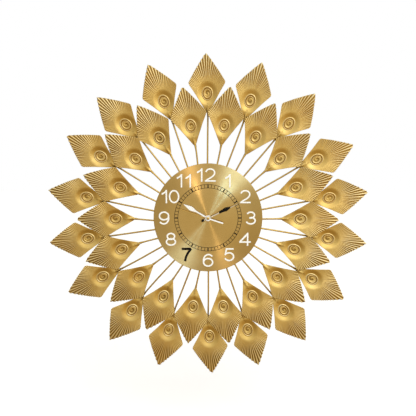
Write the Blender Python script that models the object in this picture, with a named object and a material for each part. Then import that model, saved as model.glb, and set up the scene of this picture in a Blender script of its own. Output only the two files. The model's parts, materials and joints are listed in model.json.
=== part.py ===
"""Sunburst wall clock: pressed metal leaves on welded rods around a dial with a quartz movement.

The clock hangs on a wall at y = 0 and faces -Y, with +Z up and +X to the right of the reader.
The origin is on the hands' axis, in the wall plane. Lengths are in millimetres, and MM turns
them into metres. A "front" value is a distance out from the wall, so y = -front. Clock angles
are in degrees, clockwise from twelve.
"""

import math

import bmesh
import bpy
from mathutils import Matrix, Vector

MM = 0.001

# Leaves and rods
RAY_COUNT = 36
OUTER_BASE_RADIUS = 193.0
INNER_BASE_RADIUS = 137.0
LEAF_LENGTH = 107.6
LEAF_THICKNESS = 0.8
LEAF_BACK_FRONT = 18.2
LEAF_EYE = 36.0
LEAF_RISE = 3.0
LEAF_RISE_LENGTH = 60.0
LEAF_SIDE_LIFT = 2.0
LEAF_HALF_WIDTH = 33.0
LEAF_DISH = 2.6
LEAF_DISH_RADIUS = 15.0
LEAF_ROLL = 2.0
# Half the leaf's width at distances from its base to its tip.
LEAF_OUTLINE = (
    (0.0, 1.9),
    (9.0, 6.8),
    (20.0, 13.0),
    (36.0, 22.4),
    (53.0, 33.2),
    (56.5, 33.5),
    (75.2, 22.8),
    (94.2, 10.4),
    (105.2, 2.6),
)
# How far each leaf leans from its rod, clockwise, as it was welded.
OUTER_LEAN = (-2, -3, 1, 8, 1, -3, 2, 4, 3, -4, -4, -3, 6, 4, 1, 2, -6, -3)
INNER_LEAN = (-1, 0, 0, 2, 1, -1, 2, 2, 1, -2, -2, -1, 2, 0, -1, -1, -4, -2)
# The frame is hand-bent: beside the dial its rods pass below their rays, less so out at the leaves.
RODS_LOW_AT_DIAL = 4.0
RODS_BACK_AT_DIAL = 1.0
LEAVES_LOW = 1.8
ROD_RADIUS = 1.5
ROD_FRONT = 16.4
ROD_START = 50.0
ROD_UNDER_LEAF = 16.0
ROD_SIDES = 8
SMOOTH_ANGLE = 35.0
CUT_MARGIN = 1.0

# Hub plate, hanger and dial
HOLE_RADIUS = 4.3
PLATE_RADIUS = 72.0
PLATE_BACK = 17.6
PLATE_FACE = 18.8
HANGER_HALF_WIDTH = 9.0
HANGER_METAL = 1.5
HANGER_SINK = 0.1
HANGER_FOOT = 33.0
HANGER_BEND = 45.0
HANGER_TOP = 70.0
KEYHOLE_Z = 53.0
KEYHOLE_RADIUS = 4.5
KEYHOLE_SLOT_RADIUS = 2.5
KEYHOLE_SLOT_TOP = 62.0
DIAL_RADIUS = 101.8
DIAL_BACK = 19.1
DIAL_FACE = 20.1
DIAL_EDGE = 0.8
DIAL_FLANGE = 18.3
DIAL_FLANGE_WIDTH = 0.8

# Fasteners on the threaded bush
BUSH_RADIUS = 4.0
BUSH_BORE = 3.0
BUSH_END = 23.8
GASKET = (16.3, 17.3, 12.0)
WASHER = (20.4, 20.9, 6.0)
NUT = (21.2, 23.4, 5.7)

# Movement case
CASE_HALF = 28.0
CASE_DEPTH = 16.0
CASE_WALL = 1.0
CASE_CORNER = 3.0
CASE_RIM = 1.3
LID_THICKNESS = 1.0
LID_BOTTOM = -10.2
BAY_TOP = -10.8
BAY_BOTTOM = -26.4
BAY_FLOOR = 15.3
TRAIN_BOTTOM = -9.6
BATTERY_RADIUS = 7.25
BATTERY_LENGTH = 50.5
BATTERY_Z = -18.6
BATTERY_FRONT = 7.75
BATTERY_LEFT = -25.9
CONTACT_X = 26.5
CONTACT_THICKNESS = 0.4
CONTACT_BACK = 2.5
CONTACT_FACE = 13.0
CONTACT_HALF_HEIGHT = 5.0
CONTACT_CORNER = 1.5
SPRING_TURNS = 2
SPRING_RADIUS = 3.8
SPRING_TAPER = 2.0
SPRING_LENGTH = 1.1
SPRING_WIRE_RADIUS = 0.3

# Wheels: teeth and modules. Each pair of meshing wheels shares its module.
ADDENDUM = 0.9
DEDENDUM = 1.25
TOOTH_ROOT = 0.56
TOOTH_TIP = 0.2
SECOND_TEETH = 36
SECOND_PINION = 6
INTERMEDIATE_TEETH = 30
INTERMEDIATE_PINION = 6
ROTOR_PINION = 6
THIRD_TEETH = 45
THIRD_PINION = 6
CENTRE_TEETH = 48
CANNON_PINION = 10
MOTION_TEETH = 30
MOTION_PINION = 8
HOUR_TEETH = 32
KNOB_PINION = 10
SECOND_MODULE = 0.36
ROTOR_MODULE = 0.40
THIRD_DISTANCE = 9.5
MOTION_MODULE = 0.45

# Directions, anticlockwise from +X as seen from the front, from each wheel to the next.
THIRD_DIRECTION = 150.0
MOTION_DIRECTION = 20.0
KNOB_DIRECTION = 20.0
INTERMEDIATE_DIRECTION = 80.0
ROTOR_DIRECTION = 100.0

# Arbors and hands
ARBOR_RADIUS = 0.4
SECOND_ARBOR_RADIUS = 0.45
POST_RADIUS = 0.25
POST_BORE = 0.4
MOTION_POST_RADIUS = 0.45
MOTION_BORE = 0.7
BOSS_RADIUS = 1.3
BOSS_BORE = 0.65
TUBE_RADIUS = 1.55
TUBE_BORE = 0.8
PIPE_RADIUS = 2.7
PIPE_BORE = 1.9
KNOB_SHAFT_RADIUS = 1.0
KNOB_RADIUS = 8.2
RECESS_RADIUS = 8.6
KNOB_GRIPS = 18
KNOB_GRIP_DEPTH = 0.4
ROTOR_MAGNET_RADIUS = 3.0

# Fronts where each turned piece steps from one section to the next, from back to front
SECOND_STEPS = (1.6, 6.2, 7.0, 9.2, 28.5)
INTERMEDIATE_STEPS = (4.4, 5.2, 7.4)
ROTOR_STEPS = (2.0, 3.6, 5.6)
THIRD_STEPS = (1.5, 8.2, 9.0, 11.0, 14.6)
CENTRE_STEPS = (9.5, 9.8, 10.6, 11.2, 13.4, 27.3)
MOTION_STEPS = (11.6, 12.4, 14.7)
HOUR_STEPS = (13.8, 14.6, 25.6)
KNOB_STEPS = (0.3, 2.3, 11.3, 12.9, 14.3)

# Posts, bosses and holes in the case: where each one ends or starts
SINK = 0.3
MOTION_POST_BACK = 10.9
THIRD_BOSS_BACK = 13.4
KNOB_BOSS_BACK = 13.6
KNOB_BOSS_WALL = 0.8
THIRD_HOLE_END = 14.9
KNOB_HOLE_END = 14.7
RECESS_WALL_END = 3.6
RECESS_FLOOR = 2.6
SECOND_BOSS_END = 3.6
THIRD_BOSS_END = 3.0
BOSS_HOLE_START = 1.2
INTERMEDIATE_POST_END = 7.8
ROTOR_POST_END = 6.0
KNOB_SHAFT_CLEARANCE = 0.3

# Stepping motor and circuit board
STATOR_STEPS = (2.4, 3.2)
STATOR_BORE = 3.5
# Half of the stator's outline, as (x, z) from the rotor's axis.
STATOR_OUTLINE = ((-4.0, -5.2), (-6.0, -3.6), (-9.6, 1.2), (-9.6, 9.8), (-6.6, 9.8), (-6.6, 4.6))
COIL_RISE = 8.3
COIL_FRONT = 3.9
COIL_HALF_LENGTH = 5.8
COIL_RADIUS = 2.1
COIL_FLANGE_RADIUS = 2.5
COIL_FLANGE = 0.6
CORE_STEPS = (3.5, 4.3)
CORE_HALF_LENGTH = 9.4
CORE_HALF_WIDTH = 1.0
BOARD_STEPS = (4.0, 4.8)
BOARD_BOX = (-26.2, -14.5, -8.0, 24.5)
CHIP_STEPS = (4.6, 6.0)
CHIP_BOX = (-22.8, -17.8, 2.0, 7.0)
CRYSTAL_STEPS = (4.6, 6.6)
CRYSTAL_BOX = (-24.8, -22.8, 12.0, 19.0)

# Hands: the angle, the levels of the blade's back, its face and the hub's face, and the outline's
# points as (distance, half width) out from the hub.
HOUR_ANGLE = 300.0
HOUR_LEVELS = (24.2, 24.9, 25.3)
HOUR_HUB = 5.5
HOUR_CAP = 4.6
HOUR_HOLE = 3.0
HOUR_BLADE = ((0, 1.5), (25.5, 1.3), (30.0, 2.8), (36.0, 4.3), (43.0, 2.8), (52.5, 0))
MINUTE_ANGLE = 63.9
MINUTE_LEVELS = (26.0, 26.6, 27.0)
MINUTE_HUB = 4.0
MINUTE_CAP = 3.2
MINUTE_HOLE = 1.85
MINUTE_BLADE = (
    (0, 1.1),
    (23.0, 1.1),
    (23.5, 1.7),
    (31.0, 1.9),
    (37.0, 3.0),
    (43.0, 1.7),
    (46.0, 0.8),
    (62.8, 0),
)
MINUTE_TAIL = ((0, 1.5), (13.4, 1.7))
SECOND_ANGLE = 288.0
SECOND_LEVELS = (27.7, 28.2, 29.5)
SECOND_HUB = 3.2
SECOND_CAP = 2.7
SECOND_BLADE = ((0, 0.6), (40.0, 0.5), (60.0, 0.35))
SECOND_TAIL = ((0, 1.0), (10.0, 1.3), (28.8, 1.3), (29.8, 0.6))
SECOND_SOCKET = 0.7
SECOND_SOCKET_END = 28.9

# Colours of the finishes: base colour, roughness, metallic
FINISHES = {
    "gold_leaf": ((0.63, 0.40, 0.11), 0.34, 1.0),
    "gold_rod": ((0.60, 0.42, 0.16), 0.30, 1.0),
    "gold_dial": ((0.66, 0.46, 0.17), 0.28, 1.0),
    "white_lacquer": ((0.90, 0.89, 0.86), 0.30, 0.0),
    "hand_steel": ((0.62, 0.62, 0.60), 0.25, 1.0),
    "brass": ((0.72, 0.52, 0.20), 0.32, 1.0),
    "steel": ((0.55, 0.55, 0.56), 0.30, 1.0),
    "black_plastic": ((0.02, 0.02, 0.022), 0.45, 0.0),
    "white_nylon": ((0.80, 0.79, 0.74), 0.45, 0.0),
    "rubber": ((0.03, 0.03, 0.03), 0.80, 0.0),
    "circuit_green": ((0.02, 0.16, 0.07), 0.40, 0.0),
    "copper": ((0.72, 0.29, 0.12), 0.30, 1.0),
    "cell_wrap": ((0.08, 0.10, 0.12), 0.35, 0.4),
}


def clear_scene():
    for item in list(bpy.data.objects):
        bpy.data.objects.remove(item, do_unlink=True)


def finish(name):
    """The material of that name, made the first time that it is asked for."""
    if name in bpy.data.materials:
        return bpy.data.materials[name]
    colour, roughness, metallic = FINISHES[name]
    material = bpy.data.materials.new(name)
    material.use_nodes = True
    shader = material.node_tree.nodes["Principled BSDF"]
    shader.inputs["Base Color"].default_value = (*colour, 1.0)
    shader.inputs["Roughness"].default_value = roughness
    shader.inputs["Metallic"].default_value = metallic
    material.diffuse_color = (*colour, 1.0)
    return material


# Outlines are lists of (x, z) points, and they run anticlockwise.

def circle(radius, count=16, centre=(0.0, 0.0)):
    step = 2 * math.pi / count
    return [
        (centre[0] + radius * math.cos(i * step), centre[1] + radius * math.sin(i * step))
        for i in range(count)
    ]


def arc(centre, radius, start, end, count):
    """Points along an arc, from and to angles in degrees."""
    points = []
    for i in range(count + 1):
        angle = math.radians(start + (end - start) * i / count)
        points.append((centre[0] + radius * math.cos(angle), centre[1] + radius * math.sin(angle)))
    return points


def rectangle(x_low, x_high, z_low, z_high):
    return [(x_low, z_low), (x_high, z_low), (x_high, z_high), (x_low, z_high)]


def rounded_rectangle(x_low, x_high, z_low, z_high, radius, count=3):
    corners = (
        (x_high - radius, z_low + radius, -90),
        (x_high - radius, z_high - radius, 0),
        (x_low + radius, z_high - radius, 90),
        (x_low + radius, z_low + radius, 180),
    )
    outline = []
    for x, z, start in corners:
        outline += arc((x, z), radius, start, start + 90, count)
    return outline


def toothed(teeth, module, phase):
    """The outline of a wheel with one tooth at the phase angle, in radians."""
    pitch_radius = module * teeth / 2
    root = pitch_radius - DEDENDUM * module
    tip = pitch_radius + ADDENDUM * module
    step = 2 * math.pi / teeth
    flank = ((root, -TOOTH_ROOT / 2), (tip, -TOOTH_TIP / 2), (tip, TOOTH_TIP / 2), (root, TOOTH_ROOT / 2))
    outline = []
    for tooth in range(teeth):
        for radius, share in flank:
            angle = phase + (tooth + share) * step
            outline.append((radius * math.cos(angle), radius * math.sin(angle)))
    return outline


def meshing_phase(direction, teeth, phase, other_teeth):
    """The phase of a wheel that meshes with the one it lies in that direction from."""
    turn = math.radians(direction)
    return turn + math.pi + math.pi / other_teeth + (turn - phase) * teeth / other_teeth


def step_from(start, direction, distance):
    turn = math.radians(direction)
    return (start[0] + distance * math.cos(turn), start[1] + distance * math.sin(turn))


def facing_front(a, b, front):
    return Vector((a, -front, b)) * MM


def facing_side(a, b, x):
    """For outlines drawn as (front, z) and extruded along x."""
    return Vector((x, -a, b)) * MM


def add_loop(bm, outline, depth, place):
    verts = [bm.verts.new(place(a, b, depth)) for a, b in outline]
    edges = [bm.edges.new((verts[i - 1], verts[i])) for i in range(len(verts))]
    return verts, edges


def add_walls(bm, first, second):
    for i in range(len(first)):
        bm.faces.new((first[i - 1], first[i], second[i], second[i - 1]))


def layered(sections, holes=(), place=facing_front):
    """A mesh of prisms, one on the other: sections are (low, high, outline).

    The holes are outlines that run through every section.
    """
    bm = bmesh.new()
    rings = []
    for low, high, outline in sections:
        near = add_loop(bm, outline, low, place)
        far = add_loop(bm, outline, high, place)
        add_walls(bm, near[0], far[0])
        rings.append((near, far))
    first_cap = list(rings[0][0][1])
    last_cap = list(rings[-1][1][1])
    for outline in holes:
        near = add_loop(bm, outline, sections[0][0], place)
        far = add_loop(bm, outline, sections[-1][1], place)
        add_walls(bm, near[0], far[0])
        first_cap += near[1]
        last_cap += far[1]
    caps = [first_cap, last_cap]
    for lower, upper in zip(rings, rings[1:]):
        caps.append(lower[1][1] + upper[0][1])
    for edges in caps:
        bmesh.ops.triangle_fill(bm, use_beauty=True, edges=edges)
    bmesh.ops.recalc_face_normals(bm, faces=bm.faces)
    return bm


def stacked(steps, outlines, holes=()):
    """Prisms end to end: each outline runs from one step to the next."""
    return layered(list(zip(steps, steps[1:], outlines)), holes)


def turned(profile, count, closed):
    """A mesh turned about the front axis from (radius, front) points."""
    bm = bmesh.new()
    step = 2 * math.pi / count
    rings = []
    for radius, front in profile:
        if radius == 0:
            rings.append([bm.verts.new(facing_front(0, 0, front))] * count)
            continue
        ring = []
        for i in range(count):
            place = facing_front(radius * math.cos(i * step), radius * math.sin(i * step), front)
            ring.append(bm.verts.new(place))
        rings.append(ring)
    pairs = list(zip(rings, rings[1:]))
    if closed:
        pairs.append((rings[-1], rings[0]))
    for ring, following in pairs:
        for i in range(count):
            corners = [ring[i - 1], ring[i], following[i], following[i - 1]]
            bm.faces.new(list(dict.fromkeys(corners)))
    bmesh.ops.recalc_face_normals(bm, faces=bm.faces)
    return bm


def swept_tube(points, radius, sides):
    """A closed tube along the points, with flat ends."""
    bm = bmesh.new()
    rings = []
    for i, point in enumerate(points):
        before = points[max(i - 1, 0)]
        after = points[min(i + 1, len(points) - 1)]
        along = (after - before).normalized()
        side = along.cross(Vector((1.0, 0.0, 0.0))).normalized()
        up = along.cross(side)
        ring = []
        for k in range(sides):
            angle = 2 * math.pi * k / sides
            ring.append(bm.verts.new(point + (side * math.cos(angle) + up * math.sin(angle)) * radius))
        rings.append(ring)
    for ring, following in zip(rings, rings[1:]):
        add_walls(bm, ring, following)
    bm.faces.new(rings[0])
    bm.faces.new(rings[-1])
    bmesh.ops.recalc_face_normals(bm, faces=bm.faces)
    return bm


def mesh_from(name, bm, material, smooth_angle=SMOOTH_ANGLE):
    mesh = bpy.data.meshes.new(name)
    bm.to_mesh(mesh)
    bm.free()
    mesh.materials.append(finish(material))
    mesh.shade_smooth()
    mesh.set_sharp_from_angle(angle=math.radians(smooth_angle))
    return mesh


def add_object(name, mesh, centre=(0.0, 0.0)):
    item = bpy.data.objects.new(name, mesh)
    item.location = facing_front(centre[0], centre[1], 0.0)
    bpy.context.scene.collection.objects.link(item)
    return item


def add_solid(name, bm, material, centre=(0.0, 0.0)):
    return add_object(name, mesh_from(name, bm, material), centre)


def combine(target, bm, operation):
    """Unite the target with a shape, or cut the shape out of it."""
    tool = add_object("tool", mesh_from("tool", bm, target.data.materials[0].name))
    modifier = target.modifiers.new("combine", "BOOLEAN")
    modifier.operation = operation
    modifier.object = tool
    bpy.context.view_layer.update()
    shaped = target.evaluated_get(bpy.context.evaluated_depsgraph_get())
    mesh = bpy.data.meshes.new_from_object(shaped)
    mesh.name = target.name
    target.modifiers.clear()
    target.data = mesh
    mesh.set_sharp_from_angle(angle=math.radians(SMOOTH_ANGLE))
    bpy.data.objects.remove(tool, do_unlink=True)


# Leaves, rods and dial

def leaf_height(along, across):
    """How far the leaf's back stands in front of its base: a cupped blade with a dish at its eye."""
    rise = LEAF_RISE * math.sin(math.pi / 2 * min(along / LEAF_RISE_LENGTH, 1.0))
    cup = LEAF_SIDE_LIFT * (across / LEAF_HALF_WIDTH) ** 2
    from_eye = math.hypot(across, along - LEAF_EYE)
    return rise + cup - LEAF_DISH * math.exp(-(from_eye / LEAF_DISH_RADIUS) ** 2)


def rod_shift(angle, reach, base):
    """How far the rod to a leaf's base lies beside its ray, clockwise."""
    inward = (base - reach) / (base - DIAL_RADIUS)
    at_dial = RODS_LOW_AT_DIAL * math.sin(angle) - RODS_BACK_AT_DIAL
    return (1.0 - inward) * LEAVES_LOW * math.sin(angle) + inward * at_dial


def leaf_mesh():
    right = list(LEAF_OUTLINE)
    outline = [(half, along) for along, half in right]
    outline.append((0.0, LEAF_LENGTH))
    outline += [(-half, along) for along, half in reversed(right)]
    bm = bmesh.new()
    layers = []
    for offset in (0.0, LEAF_THICKNESS):
        rim = []
        for across, along in outline:
            front = leaf_height(along, across) + offset
            rim.append(bm.verts.new(facing_front(across, along, front)))
        middle = bm.verts.new(facing_front(0.0, LEAF_EYE, leaf_height(LEAF_EYE, 0.0) + offset))
        for i in range(len(rim)):
            bm.faces.new((rim[i - 1], rim[i], middle))
        layers.append(rim)
    add_walls(bm, layers[0], layers[1])
    bmesh.ops.recalc_face_normals(bm, faces=bm.faces)
    return mesh_from("leaf", bm, "gold_leaf", smooth_angle=50.0)


def add_leaves(kind, mesh, base_radius, first_angle, leans):
    for number, lean in enumerate(leans):
        angle = math.radians(first_angle + number * 720.0 / RAY_COUNT)
        leaf = add_object(f"{kind}_leaf_{number + 1:02d}", mesh)
        ray = Matrix.Rotation(angle, 4, "Y")
        base = ray @ facing_front(rod_shift(angle, base_radius, base_radius), base_radius, LEAF_BACK_FRONT)
        turn = Matrix.Rotation(angle + math.radians(lean), 4, "Y")
        roll = Matrix.Rotation(math.radians(-LEAF_ROLL), 4, "Z")
        leaf.matrix_world = Matrix.Translation(base) @ turn @ roll


def hanger():
    """A Z-shaped strap with a keyhole, from the hub plate back to the wall."""
    inner = HANGER_BEND - HANGER_METAL
    foot_face = PLATE_BACK + HANGER_SINK
    foot_back = foot_face - HANGER_METAL
    outline = [
        (foot_face, HANGER_FOOT),
        (foot_face, HANGER_BEND),
        (HANGER_METAL, HANGER_BEND),
        (HANGER_METAL, HANGER_TOP),
        (0.0, HANGER_TOP),
        (0.0, inner),
        (foot_back, inner),
        (foot_back, HANGER_FOOT),
    ]
    return layered([(-HANGER_HALF_WIDTH, HANGER_HALF_WIDTH, outline)], place=facing_side)


def keyhole():
    """A round hole with a narrower slot rising from it."""
    half = KEYHOLE_SLOT_RADIUS
    meet = math.degrees(math.asin(half / KEYHOLE_RADIUS))
    outline = arc((0.0, KEYHOLE_Z), KEYHOLE_RADIUS, 90.0 + meet, 450.0 - meet, 12)
    outline += arc((0.0, KEYHOLE_SLOT_TOP), half, 0.0, 180.0, 6)
    return layered([(-CUT_MARGIN, HANGER_METAL + CUT_MARGIN, outline)])


def rods():
    """All the rods in one mesh, each one lying close along its ray."""
    bm = bmesh.new()
    side = 2 * math.pi / ROD_SIDES
    for ray in range(RAY_COUNT):
        base = OUTER_BASE_RADIUS if ray % 2 == 0 else INNER_BASE_RADIUS
        ray_angle = 2 * math.pi * ray / RAY_COUNT
        turn = Matrix.Rotation(ray_angle, 4, "Y")
        ends = []
        for reach in (ROD_START, base + ROD_UNDER_LEAF):
            ring = []
            for k in range(ROD_SIDES):
                angle = (k + 0.5) * side
                across = ROD_RADIUS * math.cos(angle) + rod_shift(ray_angle, reach, base)
                front = ROD_FRONT + ROD_RADIUS * math.sin(angle)
                ring.append(bm.verts.new(turn @ facing_front(across, reach, front)))
            ends.append(ring)
        add_walls(bm, ends[0], ends[1])
        bm.faces.new(ends[0])
        bm.faces.new(ends[1])
    bmesh.ops.recalc_face_normals(bm, faces=bm.faces)
    return bm


def add_spoke_frame():
    plate = layered([(PLATE_BACK, PLATE_FACE, circle(PLATE_RADIUS, 48))], [circle(HOLE_RADIUS)])
    frame = add_solid("spoke_frame", plate, "gold_rod")
    combine(frame, rods(), "UNION")
    combine(frame, hanger(), "UNION")
    combine(frame, keyhole(), "DIFFERENCE")


def add_dial():
    """A flat disc with a chamfered edge and a flange turned back behind it."""
    profile = (
        (HOLE_RADIUS, DIAL_BACK),
        (HOLE_RADIUS, DIAL_FACE),
        (DIAL_RADIUS - DIAL_EDGE, DIAL_FACE),
        (DIAL_RADIUS, DIAL_FACE - DIAL_EDGE),
        (DIAL_RADIUS, DIAL_FLANGE),
        (DIAL_RADIUS - DIAL_FLANGE_WIDTH, DIAL_FLANGE),
        (DIAL_RADIUS - DIAL_FLANGE_WIDTH, DIAL_BACK),
    )
    add_solid("dial", turned(profile, 48, closed=True), "gold_dial")


def add_fasteners():
    for name, (low, high, radius), sides, material in (
        ("rubber_gasket", GASKET, 24, "rubber"),
        ("mounting_washer", WASHER, 24, "brass"),
        ("mounting_nut", NUT, 6, "brass"),
    ):
        ring = layered([(low, high, circle(radius, sides))], [circle(HOLE_RADIUS)])
        add_solid(name, ring, material)


# Hands

def hand_outline(hub_radius, blade, tail=()):
    """A hand that points at twelve: blade and tail are (distance, half width) points out from the hub."""
    upper_half = blade[0][1]
    start = math.degrees(math.acos(upper_half / hub_radius))
    right = [(half, distance) for distance, half in blade[1:] if half > 0]
    left = [(-x, z) for x, z in reversed(right)]
    tip = [(0.0, distance) for distance, half in blade if half == 0]
    outline = right + tip + left
    if not tail:
        return outline + arc((0.0, 0.0), hub_radius, 180.0 - start, 360.0 + start, 14)
    lower = math.degrees(math.acos(tail[0][1] / hub_radius))
    outline += arc((0.0, 0.0), hub_radius, 180.0 - start, 180.0 + lower, 6)
    outline += [(-half, -distance) for distance, half in tail[1:]]
    outline += [(half, -distance) for distance, half in reversed(tail[1:])]
    return outline + arc((0.0, 0.0), hub_radius, 360.0 - lower, 360.0 + start, 6)


def add_hand(name, angle, levels, outline, cap_radius, holes, material):
    """A flat hand with a thicker round hub. The levels are the back, the blade's face and the hub's face."""
    back, face, cap = levels
    sections = [(back, face, outline), (face, cap, circle(cap_radius, 20))]
    hand = add_solid(name, layered(sections, holes), material)
    hand.rotation_euler = (0.0, math.radians(angle), 0.0)
    return hand


def add_hands():
    outline = hand_outline(HOUR_HUB, HOUR_BLADE)
    bore = [circle(HOUR_HOLE)]
    add_hand("hour_hand", HOUR_ANGLE, HOUR_LEVELS, outline, HOUR_CAP, bore, "white_lacquer")

    outline = hand_outline(MINUTE_HUB, MINUTE_BLADE, MINUTE_TAIL)
    bore = [circle(MINUTE_HOLE, 12)]
    add_hand("minute_hand", MINUTE_ANGLE, MINUTE_LEVELS, outline, MINUTE_CAP, bore, "hand_steel")

    outline = hand_outline(SECOND_HUB, SECOND_BLADE, SECOND_TAIL)
    hand = add_hand("second_hand", SECOND_ANGLE, SECOND_LEVELS, outline, SECOND_CAP, (), "white_lacquer")
    socket = [(SECOND_LEVELS[0] - CUT_MARGIN, SECOND_SOCKET_END, circle(SECOND_SOCKET, 12))]
    combine(hand, layered(socket), "DIFFERENCE")


# Wheel train

def wheel_places():
    """Each arbor's place, as (x, z)."""
    hands = (0.0, 0.0)
    third = step_from(hands, THIRD_DIRECTION, THIRD_DISTANCE)
    motion_distance = MOTION_MODULE * (CANNON_PINION + MOTION_TEETH) / 2
    motion = step_from(hands, MOTION_DIRECTION, motion_distance)
    knob = step_from(motion, KNOB_DIRECTION, MOTION_MODULE * (KNOB_PINION + MOTION_TEETH) / 2)
    intermediate_distance = SECOND_MODULE * (SECOND_TEETH + INTERMEDIATE_PINION) / 2
    intermediate = step_from(hands, INTERMEDIATE_DIRECTION, intermediate_distance)
    rotor_distance = ROTOR_MODULE * (INTERMEDIATE_TEETH + ROTOR_PINION) / 2
    rotor = step_from(intermediate, ROTOR_DIRECTION, rotor_distance)
    return {"third": third, "motion": motion, "knob": knob, "intermediate": intermediate, "rotor": rotor}


def add_going_train(places):
    second_pinion_module = 2 * THIRD_DISTANCE / (SECOND_PINION + THIRD_TEETH)
    third_pinion_module = 2 * THIRD_DISTANCE / (THIRD_PINION + CENTRE_TEETH)
    arbor = circle(SECOND_ARBOR_RADIUS, 12)
    wheel = toothed(SECOND_TEETH, SECOND_MODULE, 0.0)
    pinion = toothed(SECOND_PINION, second_pinion_module, 0.0)
    add_solid("second_wheel", stacked(SECOND_STEPS, (arbor, wheel, pinion, arbor)), "brass")

    phase = meshing_phase(INTERMEDIATE_DIRECTION, SECOND_TEETH, 0.0, INTERMEDIATE_PINION)
    wheel = toothed(INTERMEDIATE_TEETH, ROTOR_MODULE, 0.0)
    pinion = toothed(INTERMEDIATE_PINION, SECOND_MODULE, phase)
    intermediate = stacked(INTERMEDIATE_STEPS, (wheel, pinion), [circle(POST_BORE, 10)])
    add_solid("intermediate_wheel", intermediate, "white_nylon", places["intermediate"])

    phase = meshing_phase(ROTOR_DIRECTION, INTERMEDIATE_TEETH, 0.0, ROTOR_PINION)
    magnet = circle(ROTOR_MAGNET_RADIUS, 20)
    pinion = toothed(ROTOR_PINION, ROTOR_MODULE, phase)
    rotor = stacked(ROTOR_STEPS, (magnet, pinion), [circle(POST_BORE, 10)])
    add_solid("rotor", rotor, "steel", places["rotor"])

    phase = meshing_phase(THIRD_DIRECTION, SECOND_PINION, 0.0, THIRD_TEETH)
    arbor = circle(ARBOR_RADIUS, 10)
    wheel = toothed(THIRD_TEETH, second_pinion_module, phase)
    pinion = toothed(THIRD_PINION, third_pinion_module, 0.0)
    third = stacked(THIRD_STEPS, (arbor, wheel, pinion, arbor))
    add_solid("third_wheel", third, "white_nylon", places["third"])

    phase = meshing_phase(THIRD_DIRECTION + 180.0, THIRD_PINION, 0.0, CENTRE_TEETH)
    tube = circle(TUBE_RADIUS, 12)
    wheel = toothed(CENTRE_TEETH, third_pinion_module, phase)
    cannon = toothed(CANNON_PINION, MOTION_MODULE, 0.0)
    centre = stacked(CENTRE_STEPS, (tube, wheel, tube, cannon, tube), [circle(TUBE_BORE, 12)])
    add_solid("centre_wheel", centre, "brass")


def add_motion_work(places):
    motion_phase = meshing_phase(MOTION_DIRECTION, CANNON_PINION, 0.0, MOTION_TEETH)
    wheel = toothed(MOTION_TEETH, MOTION_MODULE, motion_phase)
    pinion = toothed(MOTION_PINION, MOTION_MODULE, 0.0)
    motion = stacked(MOTION_STEPS, (wheel, pinion), [circle(MOTION_BORE, 12)])
    add_solid("motion_wheel", motion, "white_nylon", places["motion"])

    phase = meshing_phase(MOTION_DIRECTION + 180.0, MOTION_PINION, 0.0, HOUR_TEETH)
    wheel = toothed(HOUR_TEETH, MOTION_MODULE, phase)
    hour = stacked(HOUR_STEPS, (wheel, circle(PIPE_RADIUS)), [circle(PIPE_BORE, 12)])
    add_solid("hour_wheel", hour, "white_nylon")


def add_setting_knob(places):
    motion_phase = meshing_phase(MOTION_DIRECTION, CANNON_PINION, 0.0, MOTION_TEETH)
    phase = meshing_phase(KNOB_DIRECTION, MOTION_TEETH, motion_phase, KNOB_PINION)
    grip = []
    for i in range(2 * KNOB_GRIPS):
        radius = KNOB_RADIUS if i % 2 else KNOB_RADIUS - KNOB_GRIP_DEPTH
        angle = math.pi * i / KNOB_GRIPS
        grip.append((radius * math.cos(angle), radius * math.sin(angle)))
    shaft = circle(KNOB_SHAFT_RADIUS, 12)
    pinion = toothed(KNOB_PINION, MOTION_MODULE, phase)
    knob = stacked(KNOB_STEPS, (grip, shaft, pinion, shaft))
    add_solid("setting_knob", knob, "white_nylon", places["knob"])


# Movement case and electrical parts

def add_case_front(places):
    inner = CASE_HALF - CASE_WALL
    outline = rounded_rectangle(-CASE_HALF, CASE_HALF, -CASE_HALF, CASE_HALF, CASE_CORNER)
    case = add_solid("movement_case_front", layered([(CASE_RIM, CASE_DEPTH, outline)]), "black_plastic")
    upper = rounded_rectangle(-inner, inner, TRAIN_BOTTOM, inner, CASE_CORNER - CASE_WALL)
    combine(case, layered([(0.0, CASE_DEPTH - CASE_WALL, upper)]), "DIFFERENCE")
    bay = rectangle(-inner, inner, BAY_BOTTOM, BAY_TOP)
    combine(case, layered([(0.0, BAY_FLOOR, bay)]), "DIFFERENCE")
    inside = CASE_DEPTH - CASE_WALL + SINK
    knob_hole = KNOB_SHAFT_RADIUS + KNOB_SHAFT_CLEARANCE
    axis = (0.0, 0.0)
    for low, high, radius, place in (
        (inside, BUSH_END, BUSH_RADIUS, axis),
        (MOTION_POST_BACK, inside, MOTION_POST_RADIUS, places["motion"]),
        (THIRD_BOSS_BACK, inside, BOSS_RADIUS, places["third"]),
        (KNOB_BOSS_BACK, inside, BOSS_RADIUS + KNOB_BOSS_WALL, places["knob"]),
    ):
        combine(case, layered([(low, high, circle(radius, 16, place))]), "UNION")
    for low, high, radius, place in (
        (THIRD_BOSS_BACK - CUT_MARGIN, BUSH_END + CUT_MARGIN, BUSH_BORE, axis),
        (THIRD_BOSS_BACK - CUT_MARGIN, THIRD_HOLE_END, BOSS_BORE, places["third"]),
        (KNOB_BOSS_BACK - CUT_MARGIN, KNOB_HOLE_END, knob_hole, places["knob"]),
    ):
        combine(case, layered([(low, high, circle(radius, 16, place))]), "DIFFERENCE")


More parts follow.
